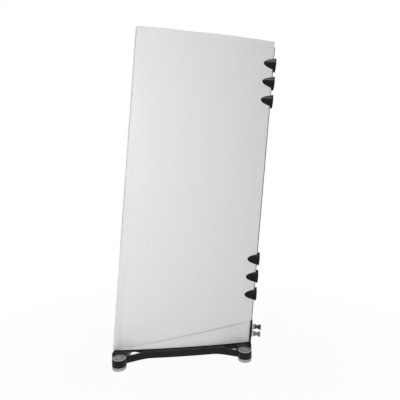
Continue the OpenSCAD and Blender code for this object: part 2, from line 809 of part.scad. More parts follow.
// Threaded stems with a banana socket at the outer end and a nut inside the cabinet
module post_stems() color("gold") for (i = [0:1]) at_post(i) difference() {
    translate([0, 0, -stem_inner]) cylinder(r = stem_r, h = stem_inner + stem_outer);
    translate([0, 0, stem_outer - socket_depth]) cylinder(r = socket_r, h = far);
}

module post_washer(i) color("silver") at_post(i) difference() {
    translate([0, 0, collar_t]) cylinder(r = washer_r, h = washer_t);
    cylinder(r = stem_r + run_gap, h = far);
}

// Spool-shaped knob with a waist and a flared end
module post_knob(i) color(i == 0 ? "dimgray" : "gray") at_post(i) translate([0, 0, knob_start])
    rotate_extrude($fn = 64) difference() {
        translate([stem_r + run_gap, 0]) square([knob_r - stem_r - run_gap, knob_len]);
        hull() {
            translate([knob_r + 3, 9]) circle(6.5, $fn = 48);
            translate([knob_r + 3, knob_len - 12]) circle(6.5, $fn = 48);
        }
    }

// ---------------------------------------------------------------- plinth and feet

module bolt_places() {
    for (x = [-1, 1], y = [baffle_t + 16, rear_arm[1].y])
        translate([x * base_half_width(y, side_wall + 20), y, 0]) children();
}

// Outer edge of the plinth's +X side between the front boss and the rear boss
function beam_x(y) = base_half_width(y, -plinth_margin);

// Fills a concave corner c between two straight edges with an arc of radius r
module corner_fillet(a, c, b, r) {
    u = unit(a - c);
    v = unit(b - c);
    half = acos(u * v) / 2;
    centre = c + unit(u + v) * (r - edge_cross) / sin(half);
    difference() {
        polygon([c - unit(u + v), foot_on_edge(centre, c, a), centre, foot_on_edge(centre, c, b)]);
        translate(centre) circle(r, $fn = 360);
    }
}

// Point on the beam's edge at depth y
function beam_point(y) = [beam_x(y), y];

// The arms' outer edges run from their bosses to these depths on the beam
front_arm_end = front_foot_y + 92;
rear_arm_end = rear_foot_y - 106;
front_arm = [[front_foot_x - 14, front_foot_y + 20], beam_point(front_arm_end)];
rear_arm = [[rear_foot_x + 4, rear_foot_y - 20], beam_point(rear_arm_end)];
arm_fillet_r = 110;

// End of an arm's edge, carried on into the beam
function arm_root(arm) = arm[1] + (arm[1] - arm[0]) * 0.2;

module plinth_half() {
    front_boss = [front_foot_x, front_foot_y];
    rear_boss = [rear_foot_x, rear_foot_y];
    intersection() {
        translate([0, plinth_front]) square([far, plinth_rear - plinth_front]);
        translate(base_centre) circle(side_radius + plinth_margin, $fn = side_fn);
    }
    translate(front_boss) circle(boss_r, $fn = 96);
    translate(rear_boss) circle(boss_r, $fn = 96);
    polygon([
        [0, front_foot_y - boss_r + 2], [front_foot_x, front_foot_y - boss_r],
        [front_foot_x + 8, front_foot_y], front_arm[0], arm_root(front_arm),
        [0, front_arm_end + 18]]);
    polygon([
        [0, rear_arm_end - 25], arm_root(rear_arm), rear_arm[0], [rear_foot_x + 8, rear_foot_y],
        [rear_foot_x, rear_foot_y + boss_r - 3], [0, plinth_rear - 4]]);
    corner_fillet(front_arm[0], front_arm[1], beam_point(front_arm_end + 88), arm_fillet_r);
    corner_fillet(beam_point(rear_arm_end - 95), rear_arm[1], rear_arm[0], arm_fillet_r);
}

// See-through windows between each blade and the cross-bars
module window_outline() {
    f = front_arm;
    r = rear_arm;
    rounded_polygon([
        [70, f[0].y], [f[0].x - blade_t * 1.2, f[0].y],
        [f[1].x - blade_t * 1.2, f[1].y - 6], [84, f[1].y - 10]], 9, edge_cross);
    rounded_polygon([
        [20, r[1].y + 24], [r[1].x - blade_t * 1.2, r[1].y + 24],
        [r[0].x - blade_t * 1.2, r[0].y - 10], [28, r[0].y - 10]], 7, edge_cross);
}

module plinth() color([0.08, 0.08, 0.08]) level() translate([0, 0, pad_h]) difference() {
    linear_extrude(plinth_t) difference() {
        both_sides() plinth_half();
        both_sides() window_outline();
        for (f = feet) translate(f) circle(boss_bore_r, $fn = 64);
    }
    bolt_places() translate([0, 0, -1]) {
        cylinder(r = bolt_r, h = far);
        cylinder(r = 2 * bolt_r, h = 9);
    }
}

module plinth_bolts() color("dimgray") level() translate([0, 0, pad_h]) bolt_places() {
    translate([0, 0, 1]) cylinder(r = 2 * bolt_r - 0.1, h = 7);
    translate([0, 0, 8]) cylinder(r = bolt_r, h = plinth_t - 8 + shadow_gap + bottom_t - 4);
}

// Slotted disc on a threaded spindle
module foot_screw(i) color("silver") level() translate(feet[i]) difference() {
    union() {
        translate([0, 0, plinth_top]) cylinder(r = disc_r, h = disc_t, $fn = 96);
        translate([0, 0, sleeve_floor]) cylinder(r = spindle_r, h = plinth_top - sleeve_floor);
    }
    for (k = [0:disc_slots - 1])
        rotate(k * 360 / disc_slots) translate([disc_r * 0.66, 0, plinth_top + disc_t - 2.5]) {
            translate([-4, 0, 0]) cylinder(r = 1.8, h = disc_t, $fn = 24);
            translate([4, 0, 0]) cylinder(r = 1.8, h = disc_t, $fn = 24);
            translate([-4, -1.8, 0]) cube([8, 3.6, disc_t]);
        }
}

// Pad with a keyed sleeve that the spindle drives up and down in the boss
module foot_pad(i) color("gainsboro") level() translate(feet[i]) rotate_extrude($fn = 96) {
    edge = 4;
    bore = spindle_r + run_gap;
    difference() {
        square([pad_r, pad_h]);
        translate([-1, sleeve_floor]) square([bore + 1, far]);
        translate([pad_r - edge, 0]) difference() {
            translate([0, -1]) square([edge + 1, edge + 1]);
            translate([0, edge]) circle(edge, $fn = 48);
        }
    }
    translate([bore, pad_h - 1]) square([sleeve_r - bore, sleeve_top - pad_h + 1]);
}

// ---------------------------------------------------------------- selection

cabinet_shell();
front_baffle();
top_panel();
bottom_panel();
partition_panel();
window_braces();
rear_spine();
terminal_plate();
for (i = [0:5]) port(i);
for (i = [0:3]) {
    basket(i);
    magnet(i);
    cone(i);
    surround(i);
    spider(i);
}
driver_screws();
tweeter_faceplate();
tweeter_housing();
tweeter_ribbon();
crossover_board();
inductors();
capacitors();
resistors();
internal_wiring();
post_collars();
post_stems();
for (i = [0:1]) {
    post_washer(i);
    post_knob(i);
}
plinth();
plinth_bolts();
for (i = [0:3]) {
    foot_screw(i);
    foot_pad(i);
}
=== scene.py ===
"""Raked floorstanding speaker: the looks, dressed over its packed construction model."""

import logging
import math
from dataclasses import dataclass, field
from enum import Enum
from typing import Callable, Iterable, Optional, Sequence, Union

import bmesh
import bpy
from mathutils import Matrix, Vector


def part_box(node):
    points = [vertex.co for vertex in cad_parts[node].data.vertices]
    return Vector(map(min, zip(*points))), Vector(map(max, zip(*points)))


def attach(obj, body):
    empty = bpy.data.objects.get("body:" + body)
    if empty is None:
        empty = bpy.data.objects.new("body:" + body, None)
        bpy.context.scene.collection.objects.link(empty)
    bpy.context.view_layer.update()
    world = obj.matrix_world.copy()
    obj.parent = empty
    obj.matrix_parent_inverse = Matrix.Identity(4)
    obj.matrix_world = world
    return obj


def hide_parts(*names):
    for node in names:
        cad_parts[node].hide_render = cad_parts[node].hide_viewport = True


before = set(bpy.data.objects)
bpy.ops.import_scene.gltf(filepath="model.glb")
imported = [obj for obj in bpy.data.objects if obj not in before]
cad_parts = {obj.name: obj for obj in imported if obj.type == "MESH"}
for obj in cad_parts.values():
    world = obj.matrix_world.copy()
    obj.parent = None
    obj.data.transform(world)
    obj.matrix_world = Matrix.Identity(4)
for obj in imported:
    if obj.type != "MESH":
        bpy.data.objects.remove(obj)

log = logging.getLogger("speaker")
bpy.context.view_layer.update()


# ---------------------------------------------------------------- places


def about_x(degrees: float) -> Matrix:
    """Turn about the X axis."""
    return Matrix.Rotation(math.radians(degrees), 4, "X")


def outward(place: Matrix) -> Vector:
    """Direction of a frame's Z."""
    return place.to_3x3() @ Vector((0, 0, 1))


@dataclass(frozen=True)
class Rake:
    """The frame of the leaning cabinet: origin at the base's front edge, Z up the baffle.

    Sizes are in metres, and the angle is in degrees.
    """

    angle: float = 5.0
    base_height: float = 0.040
    front_foot_depth: float = 0.050
    front_height: float = 1.320

    @property
    def length(self) -> float:
        """Length of the baffle from the base to the lid's top."""
        return (self.front_height - self.base_height) / math.cos(math.radians(self.angle))

    def from_top(self, *drops: float) -> tuple[float, ...]:
        """Heights up the baffle of what lies that far below its top."""
        return tuple(self.length - drop for drop in drops)

    @property
    def base_y(self) -> float:
        """Place of the cabinet's front bottom edge along the row's Y."""
        low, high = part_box("foot_pad_1")
        return (low.y + high.y) / 2 - self.front_foot_depth

    def matrix(self) -> Matrix:
        """Matrix from the leaning frame to the row frame."""
        return Matrix.Translation((0, self.base_y, self.base_height)) @ about_x(-self.angle)

    def on_baffle(self, height: float) -> Matrix:
        """Matrix of a frame on the baffle whose Z points out at the listener."""
        return self.matrix() @ Matrix.Translation((0, 0, height)) @ about_x(90)

    def on_rear(self, height: float, depth: float) -> Matrix:
        """Matrix of a frame that far behind the baffle whose Z points out to the rear."""
        return self.matrix() @ Matrix.Translation((0, depth, height)) @ about_x(-90)


RAKE = Rake()


# ---------------------------------------------------------------- node trees


def add_node(tree: bpy.types.NodeTree, kind: str, settings: Optional[dict] = None,
             values: Optional[dict] = None) -> bpy.types.Node:
    """Adds a node to a tree.

    Args:
        tree: The shader or geometry tree.
        kind: The node's type.
        settings: Attributes of the node, set first.
        values: Value, link or list of links of each named or numbered input.

    Returns:
        The node.
    """
    made = tree.nodes.new(kind)
    for key, value in (settings or {}).items():
        setattr(made, key, value)
    for key, value in (values or {}).items():
        for item in value if isinstance(value, list) else [value]:
            item = item.socket if isinstance(item, Signal) else item
            if isinstance(item, bpy.types.NodeSocket):
                tree.links.new(item, made.inputs[key])
            else:
                made.inputs[key].default_value = item
    return made


class Signal:
    """A number that varies over a surface, as a socket with arithmetic."""

    def __init__(self, tree: bpy.types.NodeTree, socket: bpy.types.NodeSocket) -> None:
        """Wraps an output socket of a shader tree."""
        self.tree = tree
        self.socket = socket

    def math(self, operation: str, other: object = 0.0) -> "Signal":
        """The result of one Math node on this value and another."""
        made = add_node(self.tree, "ShaderNodeMath", {"operation": operation}, {0: self, 1: other})
        return Signal(self.tree, made.outputs[0])

    def __add__(self, other: object) -> "Signal":
        """Sum of two values."""
        return self.math("ADD", other)

    def __mul__(self, other: object) -> "Signal":
        """Product of two values."""
        return self.math("MULTIPLY", other)

    def sine(self) -> "Signal":
        """Sine of this value in radians."""
        return self.math("SINE")

    def span(self, low: float, high: float, to_low: float = 0.0, to_high: float = 1.0) -> "Signal":
        """Maps low..high to to_low..to_high and clamps.

        Args:
            low: Start of the range that is read.
            high: End of the range that is read.
            to_low: What the start becomes.
            to_high: What the end becomes.

        Returns:
            The mapped value.
        """
        made = add_node(self.tree, "ShaderNodeMapRange", {"clamp": True}, {
            "Value": self, "From Min": low, "From Max": high, "To Min": to_low, "To Max": to_high})
        return Signal(self.tree, made.outputs[0])


class Space(Enum):
    """Coordinates that a pattern follows."""

    OBJECT = "Object"
    UV = "UV"
    DIRECTION = "Generated"


Colour = tuple[float, float, float]


def shaded(colour: Colour, share: float, lift: float = 0.0) -> Colour:
    """A colour times a share, plus a lift."""
    return tuple(c * share + lift for c in colour)


class ShaderSheet:
    """The node tree of one material or world, written as Python expressions."""

    def __init__(self, owner: Union[bpy.types.Material, bpy.types.World]) -> None:
        """Empties the owner's tree.

        Args:
            owner: Material or world that the tree belongs to.
        """
        self.owner = owner
        owner.use_nodes = True
        self.tree = owner.node_tree
        self.tree.nodes.clear()

    def node(self, kind: str, values: dict, settings: Optional[dict] = None) -> bpy.types.Node:
        """Adds a shader node with its values and settings."""
        return add_node(self.tree, "ShaderNode" + kind, settings, values)

    def place(self, space: Space = Space.OBJECT, scale: Sequence[float] = (1, 1, 1),
              tilt: float = 0.0) -> bpy.types.NodeSocket:
        """Coordinates on the piece.

        Args:
            space: Object, UV or direction coordinates.
            scale: Scale of each axis.
            tilt: Turn about X in degrees.

        Returns:
            The vector socket.
        """
        source = self.node("TexCoord", {}).outputs[space.value]
        return self.node("Mapping", {
            "Vector": source, "Scale": tuple(scale), "Rotation": (math.radians(tilt), 0, 0)}).outputs[0]

    def noise(self, vector: bpy.types.NodeSocket, scale: float, detail: float = 2.0,
              roughness: float = 0.5) -> Signal:
        """Noise of about 0..1.

        Args:
            vector: Coordinates to read.
            scale: Grains a metre.
            detail: Finer layers on top.
            roughness: Strength of the finer layers.

        Returns:
            The noise.
        """
        made = self.node("TexNoise", {
            "Vector": vector, "Scale": scale, "Detail": detail, "Roughness": roughness})
        return Signal(self.tree, made.outputs[0])

    def cells(self, vector: bpy.types.NodeSocket, scale: float) -> Signal:
        """Distance to the nearest of scattered points, for grains and pits."""
        made = self.node("TexVoronoi", {"Vector": vector, "Scale": scale})
        return Signal(self.tree, made.outputs["Distance"])

    def axis(self, vector: bpy.types.NodeSocket, letter: str) -> Signal:
        """One axis of a vector."""
        return Signal(self.tree, self.node("SeparateXYZ", {0: vector}).outputs[letter])

    def blend(self, amount: Signal, low: Colour,
              high: Union[Colour, bpy.types.NodeSocket]) -> bpy.types.NodeSocket:
        """Colour between two colours.

        Args:
            amount: 0 for the first colour, 1 for the second.
            low: First colour.
            high: Second colour, or the socket that gives it.

        Returns:
            The colour socket.
        """
        end = high if isinstance(high, bpy.types.NodeSocket) else (*high, 1)
        made = self.node("Mix", {0: amount, 6: (*low, 1), 7: end},
                         {"data_type": "RGBA", "clamp_factor": True})
        return made.outputs[2]

    def mix(self, amount: Signal, low: bpy.types.Node, high: bpy.types.Node) -> bpy.types.Node:
        """Surface between two surfaces."""
        return self.node("MixShader", {0: amount, 1: low.outputs[0], 2: high.outputs[0]})

    def relief(self, height: Signal, depth: float, strength: float) -> bpy.types.NodeSocket:
        """Normal of a surface with a relief of that height, depth in metres and strength."""
        return self.node("Bump", {"Height": height, "Distance": depth, "Strength": strength}).outputs[0]

    def finish(self, colour: bpy.types.NodeSocket, roughness: Signal, normal: bpy.types.NodeSocket,
               **constants: float) -> bpy.types.Material:
        """Ends the tree in one principled surface.

        Args:
            colour: The base colour.
            roughness: The roughness.
            normal: The normal.
            constants: Plain values of other sockets, with _ for spaces.

        Returns:
            The material.
        """
        values = {"Base Color": colour, "Roughness": roughness, "Normal": normal}
        values.update({key.replace("_", " "): value for key, value in constants.items()})
        surface = self.node("BsdfPrincipled", values)
        self.node("OutputMaterial", {"Surface": surface.outputs[0]})
        return self.owner


# ---------------------------------------------------------------- finishes


@dataclass(frozen=True)
class Finish:
    """A finish that makes its material once."""

    name: str

    def material(self) -> bpy.types.Material:
        """The finish's material, made on first use.

        Returns:
            The material.
        """
        label = "finish_" + self.name
        found = bpy.data.materials.get(label)
        return found or self.shade(ShaderSheet(bpy.data.materials.new(label)))

    def shade(self, sheet: ShaderSheet) -> bpy.types.Material:
        """Builds the tree of the finish."""
        raise NotImplementedError


@dataclass(frozen=True)
class GlossLacquer(Finish):
    """Polished lacquer: a faint orange peel and polishing haze under a clear coat."""

    colour: Colour = (0.80, 0.80, 0.80)
    shade_low: float = 0.997
    coat_roughness: float = 0.04

    def shade(self, sheet: ShaderSheet) -> bpy.types.Material:
        """Builds the lacquer.

        Args:
            sheet: Empty sheet of the finish's material.

        Returns:
            The material.
        """
        place = sheet.place()
        cloud = sheet.noise(place, 2.2, 1.0).span(0.3, 0.7)
        haze = sheet.noise(place, 9.0, 3.0).span(0.3, 0.75, 0.29, 0.31)
        peel = sheet.noise(place, 620.0, 1.0) * 0.35 + sheet.noise(place, 70.0, 0.0)
        return sheet.finish(
            sheet.blend(cloud, shaded(self.colour, self.shade_low), self.colour), haze,
            sheet.relief(peel, 0.00001, 0.5),
            Coat_Weight=1.0, Coat_Roughness=self.coat_roughness, IOR=1.5)


@dataclass(frozen=True)
class PowderCoat(Finish):
    """Satin powder coat with a fine even grain."""

    colour: Colour = (0.006, 0.006, 0.006)
    roughness: float = 0.38
    grain: float = 1500.0
    depth: float = 0.00004
    ior: float = 1.27

    def shade(self, sheet: ShaderSheet) -> bpy.types.Material:
        """Builds the coat.

        Args:
            sheet: Empty sheet of the finish's material.

        Returns:
            The material.
        """
        place = sheet.place()
        grain = sheet.noise(place, self.grain, 2.0, 0.6)
        wear = sheet.noise(place, 14.0, 4.0)
        tone = grain.span(0.35, 0.75) * 0.6 + wear.span(0.4, 0.8) * 0.4
        return sheet.finish(
            sheet.blend(tone, self.colour, shaded(self.colour, 1.35, 0.002)),
            wear.span(0.3, 0.7, self.roughness - 0.05, self.roughness + 0.06),
            sheet.relief(grain, self.depth, 0.5), IOR=self.ior)


@dataclass(frozen=True)
class Moulding(Finish):
    """Spark-eroded moulded plastic."""

    colour: Colour = (0.005, 0.005, 0.005)
    roughness: float = 0.34
    ior: float = 1.27

    def shade(self, sheet: ShaderSheet) -> bpy.types.Material:
        """Builds the plastic.

        Args:
            sheet: Empty sheet of the finish's material.

        Returns:
            The material.
        """
        place = sheet.place()
        pits = sheet.cells(place, 2300.0).span(0.0, 0.5)
        cloud = sheet.noise(place, 30.0, 3.0)
        return sheet.finish(
            sheet.blend(cloud.span(0.35, 0.7), self.colour, shaded(self.colour, 1.5, 0.001)),
            cloud.span(0.3, 0.7, self.roughness - 0.03, self.roughness + 0.05),
            sheet.relief(pits, 0.00002, 0.4), IOR=self.ior)


@dataclass(frozen=True)
class TurnedMetal(Finish):
    """Metal turned on a lathe, whose fine rings follow the piece's own UV.

    Below the height of its recess, in metres, the metal is painted near-black as painted shade on the slot
    floors.
    """

    colour: Colour = (0.45, 0.45, 0.45)
    dark: float = 0.75
    roughness: float = 0.32
    lines: float = 2600.0
    metallic: float = 1.0
    recess: float = -1.0

    def shade(self, sheet: ShaderSheet) -> bpy.types.Material:
        """Builds the turned rings.

        Args:
            sheet: Empty sheet of the finish's material.

        Returns:
            The material.
        """
        rings = sheet.noise(sheet.place(Space.UV, (3.0, self.lines, 1.0)), 1.0, 3.0, 0.6)
        stain = sheet.noise(sheet.place(), 60.0, 3.0).span(0.3, 0.7)
        tone = sheet.blend(rings.span(0.25, 0.75) * 0.7 + stain * 0.3,
                           shaded(self.colour, self.dark), self.colour)
        # Painted shade: below the recess height the colour goes near-black, standing in for the shade deep in
        # the slots.
        if self.recess > 0:
            above_painted_shade = sheet.axis(sheet.place(), "Z").span(self.recess - 0.0002, self.recess + 0.0004)
            tone = sheet.blend(above_painted_shade, (0.012, 0.012, 0.012), tone)
        return sheet.finish(
            tone, rings.span(0.25, 0.75, self.roughness - 0.06, self.roughness + 0.1),
            sheet.relief(rings, 0.00002, 0.5), Metallic=self.metallic)


@dataclass(frozen=True)
class BlastedAlloy(Finish):
    """Bead-blasted alloy with a soft even sparkle."""

    colour: Colour = (0.5, 0.5, 0.5)
    roughness: float = 0.45
    metallic: float = 0.85

    def shade(self, sheet: ShaderSheet) -> bpy.types.Material:
        """Builds the blasted surface.

        Args:
            sheet: Empty sheet of the finish's material.

        Returns:
            The material.
        """
        place = sheet.place()
        beads = sheet.cells(place, 1700.0)
        tone = sheet.noise(place, 45.0, 3.0)
        return sheet.finish(
            sheet.blend(beads.span(0.1, 0.6) * 0.5 + tone.span(0.3, 0.7) * 0.5,
                        shaded(self.colour, 0.86), self.colour),
            tone.span(0.3, 0.7, self.roughness - 0.05, self.roughness + 0.06),
            sheet.relief(beads, 0.00003, 0.5), Metallic=self.metallic)


@dataclass(frozen=True)
class Rubber(Finish):
    """Soft black rubber with a trace of mould talc."""

    colour: Colour = (0.018, 0.018, 0.018)

    def shade(self, sheet: ShaderSheet) -> bpy.types.Material:
        """Builds the rubber.

        Args:
            sheet: Empty sheet of the finish's material.

        Returns:
            The material.
        """
        place = sheet.place()
        talc = sheet.noise(place, 160.0, 5.0, 0.65)
        skin = sheet.noise(place, 900.0, 2.0)
        return sheet.finish(
            sheet.blend(talc.span(0.5, 0.85), self.colour, shaded(self.colour, 1.0, 0.012)),
            talc.span(0.3, 0.8, 0.48, 0.62), sheet.relief(skin, 0.00004, 0.4), IOR=1.48)


@dataclass(frozen=True)
class CeramicSkin(Finish):
    """Pale ceramic-coated cone with fine lathe-laid rings and specks."""

    colour: Colour = (0.62, 0.62, 0.63)

    def shade(self, sheet: ShaderSheet) -> bpy.types.Material:
        """Builds the coating.

        Args:
            sheet: Empty sheet of the finish's material.

        Returns:
            The material.
        """
        rings = (sheet.axis(sheet.place(Space.UV), "Y") * 3200.0).sine().span(-1, 1)
        specks = sheet.cells(sheet.place(), 900.0)
        return sheet.finish(
            sheet.blend(specks.span(0.05, 0.3) * 0.8 + rings * 0.2,
                        shaded(self.colour, 0.9), self.colour),
            specks.span(0.1, 0.6, 0.34, 0.44),
            sheet.relief(rings * 0.6 + specks * 0.4, 0.00003, 0.5), IOR=1.5)


@dataclass(frozen=True)
class Weave(Finish):
    """Impregnated cloth with crossing threads."""

    colour: Colour = (0.55, 0.38, 0.14)
    threads: float = 1100.0

    def shade(self, sheet: ShaderSheet) -> bpy.types.Material:
        """Builds the weave.

        Args:
            sheet: Empty sheet of the finish's material.

        Returns:
            The material.
        """
        place = sheet.place()
        warp, weft = ((sheet.axis(place, letter) * self.threads * math.tau).sine() for letter in "XZ")
        cloth = (warp * weft).span(-1, 1)
        return sheet.finish(
            sheet.blend(cloth, shaded(self.colour, 0.6), self.colour),
            cloth.span(0, 1, 0.7, 0.85), sheet.relief(cloth, 0.0001, 0.6))


@dataclass(frozen=True)
class Foil(Finish):
    """Thin rolled aluminium foil."""

    colour: Colour = (0.72, 0.72, 0.73)

    def shade(self, sheet: ShaderSheet) -> bpy.types.Material:
        """Builds the foil.

        Args:
            sheet: Empty sheet of the finish's material.

        Returns:
            The material.
        """
        rolled = sheet.noise(sheet.place(Space.OBJECT, (1.0, 1.0, 12.0)), 220.0, 4.0)
        return sheet.finish(
            sheet.blend(rolled.span(0.3, 0.7), shaded(self.colour, 0.75), self.colour),
            rolled.span(0.3, 0.7, 0.22, 0.36), sheet.relief(rolled, 0.00003, 0.4), Metallic=1.0)


@dataclass(frozen=True)
class LayeredBoard(Finish):
    """Birch board whose plies show on the cut edges."""

    colour: Colour = (0.50, 0.36, 0.21)
    ply: float = 0.0015

    def shade(self, sheet: ShaderSheet) -> bpy.types.Material:
        """Builds the plies and the face grain.

        Args:
            sheet: Empty sheet of the finish's material.

        Returns:
            The material.
        """
        grain = sheet.noise(sheet.place(Space.OBJECT, (60.0, 6.0, 60.0)), 4.0, 4.0, 0.6)
        height = sheet.axis(sheet.place(tilt=RAKE.angle), "Z")
        plies = height.math("DIVIDE", 2 * self.ply).math("FRACT").span(0.45, 0.55)
        return sheet.finish(
            sheet.blend(grain.span(0.3, 0.7) * 0.6 + plies * 0.4,
                        shaded(self.colour, 0.62), self.colour),
            grain.span(0.3, 0.7, 0.6, 0.75), sheet.relief(grain, 0.0001, 0.4))


@dataclass(frozen=True)
class Winding(Finish):
    """Enamelled wire wound in close turns."""

    colour: Colour = (0.62, 0.25, 0.10)
    wire: float = 0.0012

    def shade(self, sheet: ShaderSheet) -> bpy.types.Material:
        """Builds the turns.

        Args:
            sheet: Empty sheet of the finish's material.

        Returns:
            The material.
        """
        place = sheet.place()
        turns = (sheet.axis(place, "Z") * (math.tau / self.wire)).sine().span(-1, 1)
        patina = sheet.noise(place, 90.0, 3.0)
        return sheet.finish(
            sheet.blend(turns * 0.7 + patina.span(0.3, 0.7) * 0.3,
                        shaded(self.colour, 0.5), self.colour),
            patina.span(0.3, 0.7, 0.25, 0.4), sheet.relief(turns, 0.0003, 0.8), Metallic=0.9)


@dataclass(frozen=True)
class Sleeve(Finish):
    """Shiny film, clay or wire sleeve with light scuffs."""

    colour: Colour = (0.4, 0.06, 0.06)
    roughness: float = 0.35

    def shade(self, sheet: ShaderSheet) -> bpy.types.Material:
        """Builds the sleeve.

        Args:
            sheet: Empty sheet of the finish's material.

        Returns:
            The material.
        """
        scuff = sheet.noise(sheet.place(), 220.0, 5.0, 0.7)
        return sheet.finish(
            sheet.blend(scuff.span(0.35, 0.65), shaded(self.colour, 0.7), self.colour),
            scuff.span(0.3, 0.7, self.roughness, self.roughness + 0.15),
            sheet.relief(scuff, 0.00004, 0.5))


WHITE_LACQUER = GlossLacquer("white_lacquer")
BLACK_POWDER = PowderCoat("black_powder")
CAST_BLACK = PowderCoat("cast_black", (0.030, 0.030, 0.032), 0.38, 1100.0, 0.00006)
PORT_BLACK = Moulding("port_black", ior=1.22)
PLATE_BLACK = Moulding("plate_black", (0.004, 0.004, 0.004), 0.38)
# Its recess height paints the slot floors near-black as painted shade.
DISC_STEEL = TurnedMetal("disc_steel", (0.46, 0.46, 0.46), 0.7, 0.36, 1800.0, 0.9, recess=0.0399)
PAD_ALLOY = BlastedAlloy("pad_alloy", (0.42, 0.42, 0.42), 0.45, 0.4)
BRIGHT_PLATE = TurnedMetal("bright_plate", (0.46, 0.46, 0.46), 0.9, 0.26)
GOLD_PLATE = TurnedMetal("gold_plate", (0.78, 0.56, 0.26), 0.85, 0.2)
KNOB_DARK = TurnedMetal("knob_dark", (0.05, 0.05, 0.05), 0.7, 0.34, 1400.0, 0.6)
KNOB_PALE = TurnedMetal("knob_pale", (0.22, 0.22, 0.22), 0.8, 0.34, 1400.0, 0.7)
BLACK_STEEL = TurnedMetal("black_steel", (0.10, 0.10, 0.105), 0.7, 0.32)
MOTOR_STEEL = BlastedAlloy("motor_steel", (0.16, 0.16, 0.17), 0.5, 0.6)
SURROUND_RUBBER = Rubber("surround_rubber")
CONE_CERAMIC = CeramicSkin("cone_ceramic")
SPIDER_CLOTH = Weave("spider_cloth")
RIBBON_FOIL = Foil("ribbon_foil")
BIRCH_BOARD = LayeredBoard("birch_board")
COIL_COPPER = Winding("coil_copper")
CAPACITOR_FILM = Sleeve("capacitor_film", (0.30, 0.05, 0.04))
RESISTOR_CLAY = Sleeve("resistor_clay", (0.68, 0.66, 0.58), 0.7)
WIRE_SLEEVE = Sleeve("wire_sleeve", (0.36, 0.03, 0.05), 0.4)
CIRCUIT_BOARD = Sleeve("circuit_board", (0.05, 0.13, 0.06), 0.45)


# ---------------------------------------------------------------- mesh making

Corner = tuple[float, float, float]
CLEAR = 0.1  # metres by which a cutter reaches past what it cuts, or a few times that


def arc(centre: Sequence[float], radius: float, start: float, end: float, steps: int) -> list[Vector]:
    """Points of an arc.

    Args:
        centre: The arc's centre.
        radius: Its radius.
        start: Angle of the first point in degrees.
        end: Angle of the last point.
        steps: Steps along it.

    Returns:
        The points.
    """
    angles = [math.radians(start + (end - start) * k / steps) for k in range(steps + 1)]
    return [Vector((centre[0] + radius * math.cos(a), centre[1] + radius * math.sin(a))) for a in angles]


def ring(radius: float, segments: int) -> list[Vector]:
    """Points of a circle about the origin."""
    return arc((0, 0), radius, 0, 360, segments)[:-1]


def fillet_path(corners: Sequence[Corner], steps: int = 5) -> list[Vector]:
    """Closed outline whose corners are rounded.

    Args:
        corners: Corners as (x, y, radius).
        steps: Steps in each rounding.

    Returns:
        The outline's points.
    """
    path: list[Vector] = []
    for k, (x, y, radius) in enumerate(corners):
        here = Vector((x, y))
        before = (Vector(corners[k - 1][:2]) - here).normalized()
        after = (Vector(corners[(k + 1) % len(corners)][:2]) - here).normalized()
        half = before.angle(after, math.pi) / 2
        if radius <= 0 or half > math.radians(88):
            path.append(here)
            continue
        reach = radius / math.tan(half)
        centre = here + (before + after).normalized() * (radius / math.sin(half))
        first, last = here + before * reach - centre, here + after * reach - centre
        turn = first.angle_signed(last)
        path += [centre + Matrix.Rotation(-turn * step / steps, 2) @ first for step in range(steps + 1)]
    return path


def mirrored(half: Sequence[Vector]) -> list[Vector]:
    """Closed outline of a half and its mirror image across X."""
    return [*half, *(Vector((-p.x, p.y)) for p in reversed(half))]


def rounded_rectangle(width: float, height: float, radius: float, steps: int) -> list[Vector]:
    """Outline of a rectangle about the origin with rounded corners."""
    w, h = width / 2, height / 2
    return fillet_path([(-w, -h, radius), (w, -h, radius), (w, h, radius), (-w, h, radius)], steps)


def edge_angle(edge: bmesh.types.BMEdge) -> float:
    """Angle across an edge in degrees, or 180 where it isn't shared by two faces."""
    return math.degrees(edge.calc_face_angle(math.pi))


def linked(shape: bmesh.types.BMesh, name: str) -> bpy.types.Object:
    """New object in the scene with that shape, which is freed.

    Args:
        shape: The mesh, which is freed.
        name: Name of the object and its mesh.

    Returns:
        The object.
    """
    mesh = bpy.data.meshes.new(name)
    shape.to_mesh(mesh)
    shape.free()
    made = bpy.data.objects.new(name, mesh)
    bpy.context.scene.collection.objects.link(made)
    return made


def taken(mesh: bpy.types.Mesh, merge: float) -> bmesh.types.BMesh:
    """The shape of a mesh, which is removed, with points closer than that merged.

    Args:
        mesh: The mesh, which is removed.
        merge: Points closer than this in metres become one.

    Returns:
        The shape.
    """
    shape = bmesh.new()
    shape.from_mesh(mesh)
    bpy.data.meshes.remove(mesh)
    bmesh.ops.remove_doubles(shape, verts=shape.verts[:], dist=merge)
    return shape


def to_object(shape: bmesh.types.BMesh, name: str, finish: Finish,
              matrix: Matrix = Matrix.Identity(4), smooth: float = 32.0) -> bpy.types.Object:
    """Ends a bmesh as an object at the origin, with its place in its mesh.

    Args:
        shape: The mesh, which is freed.
        name: The object's name.
        finish: The finish of all its faces.
        matrix: Place of the mesh in the row frame.
        smooth: Edges of a larger angle in degrees stay sharp.

    Returns:
        The object.
    """
    bmesh.ops.recalc_face_normals(shape, faces=shape.faces[:])
    for face in shape.faces:
        face.smooth = True
    for edge in shape.edges:
        edge.smooth = edge_angle(edge) <= smooth
    piece = linked(shape, name)
    piece.data.transform(matrix)
    piece.data.materials.clear()
    piece.data.materials.append(finish.material())
    return piece


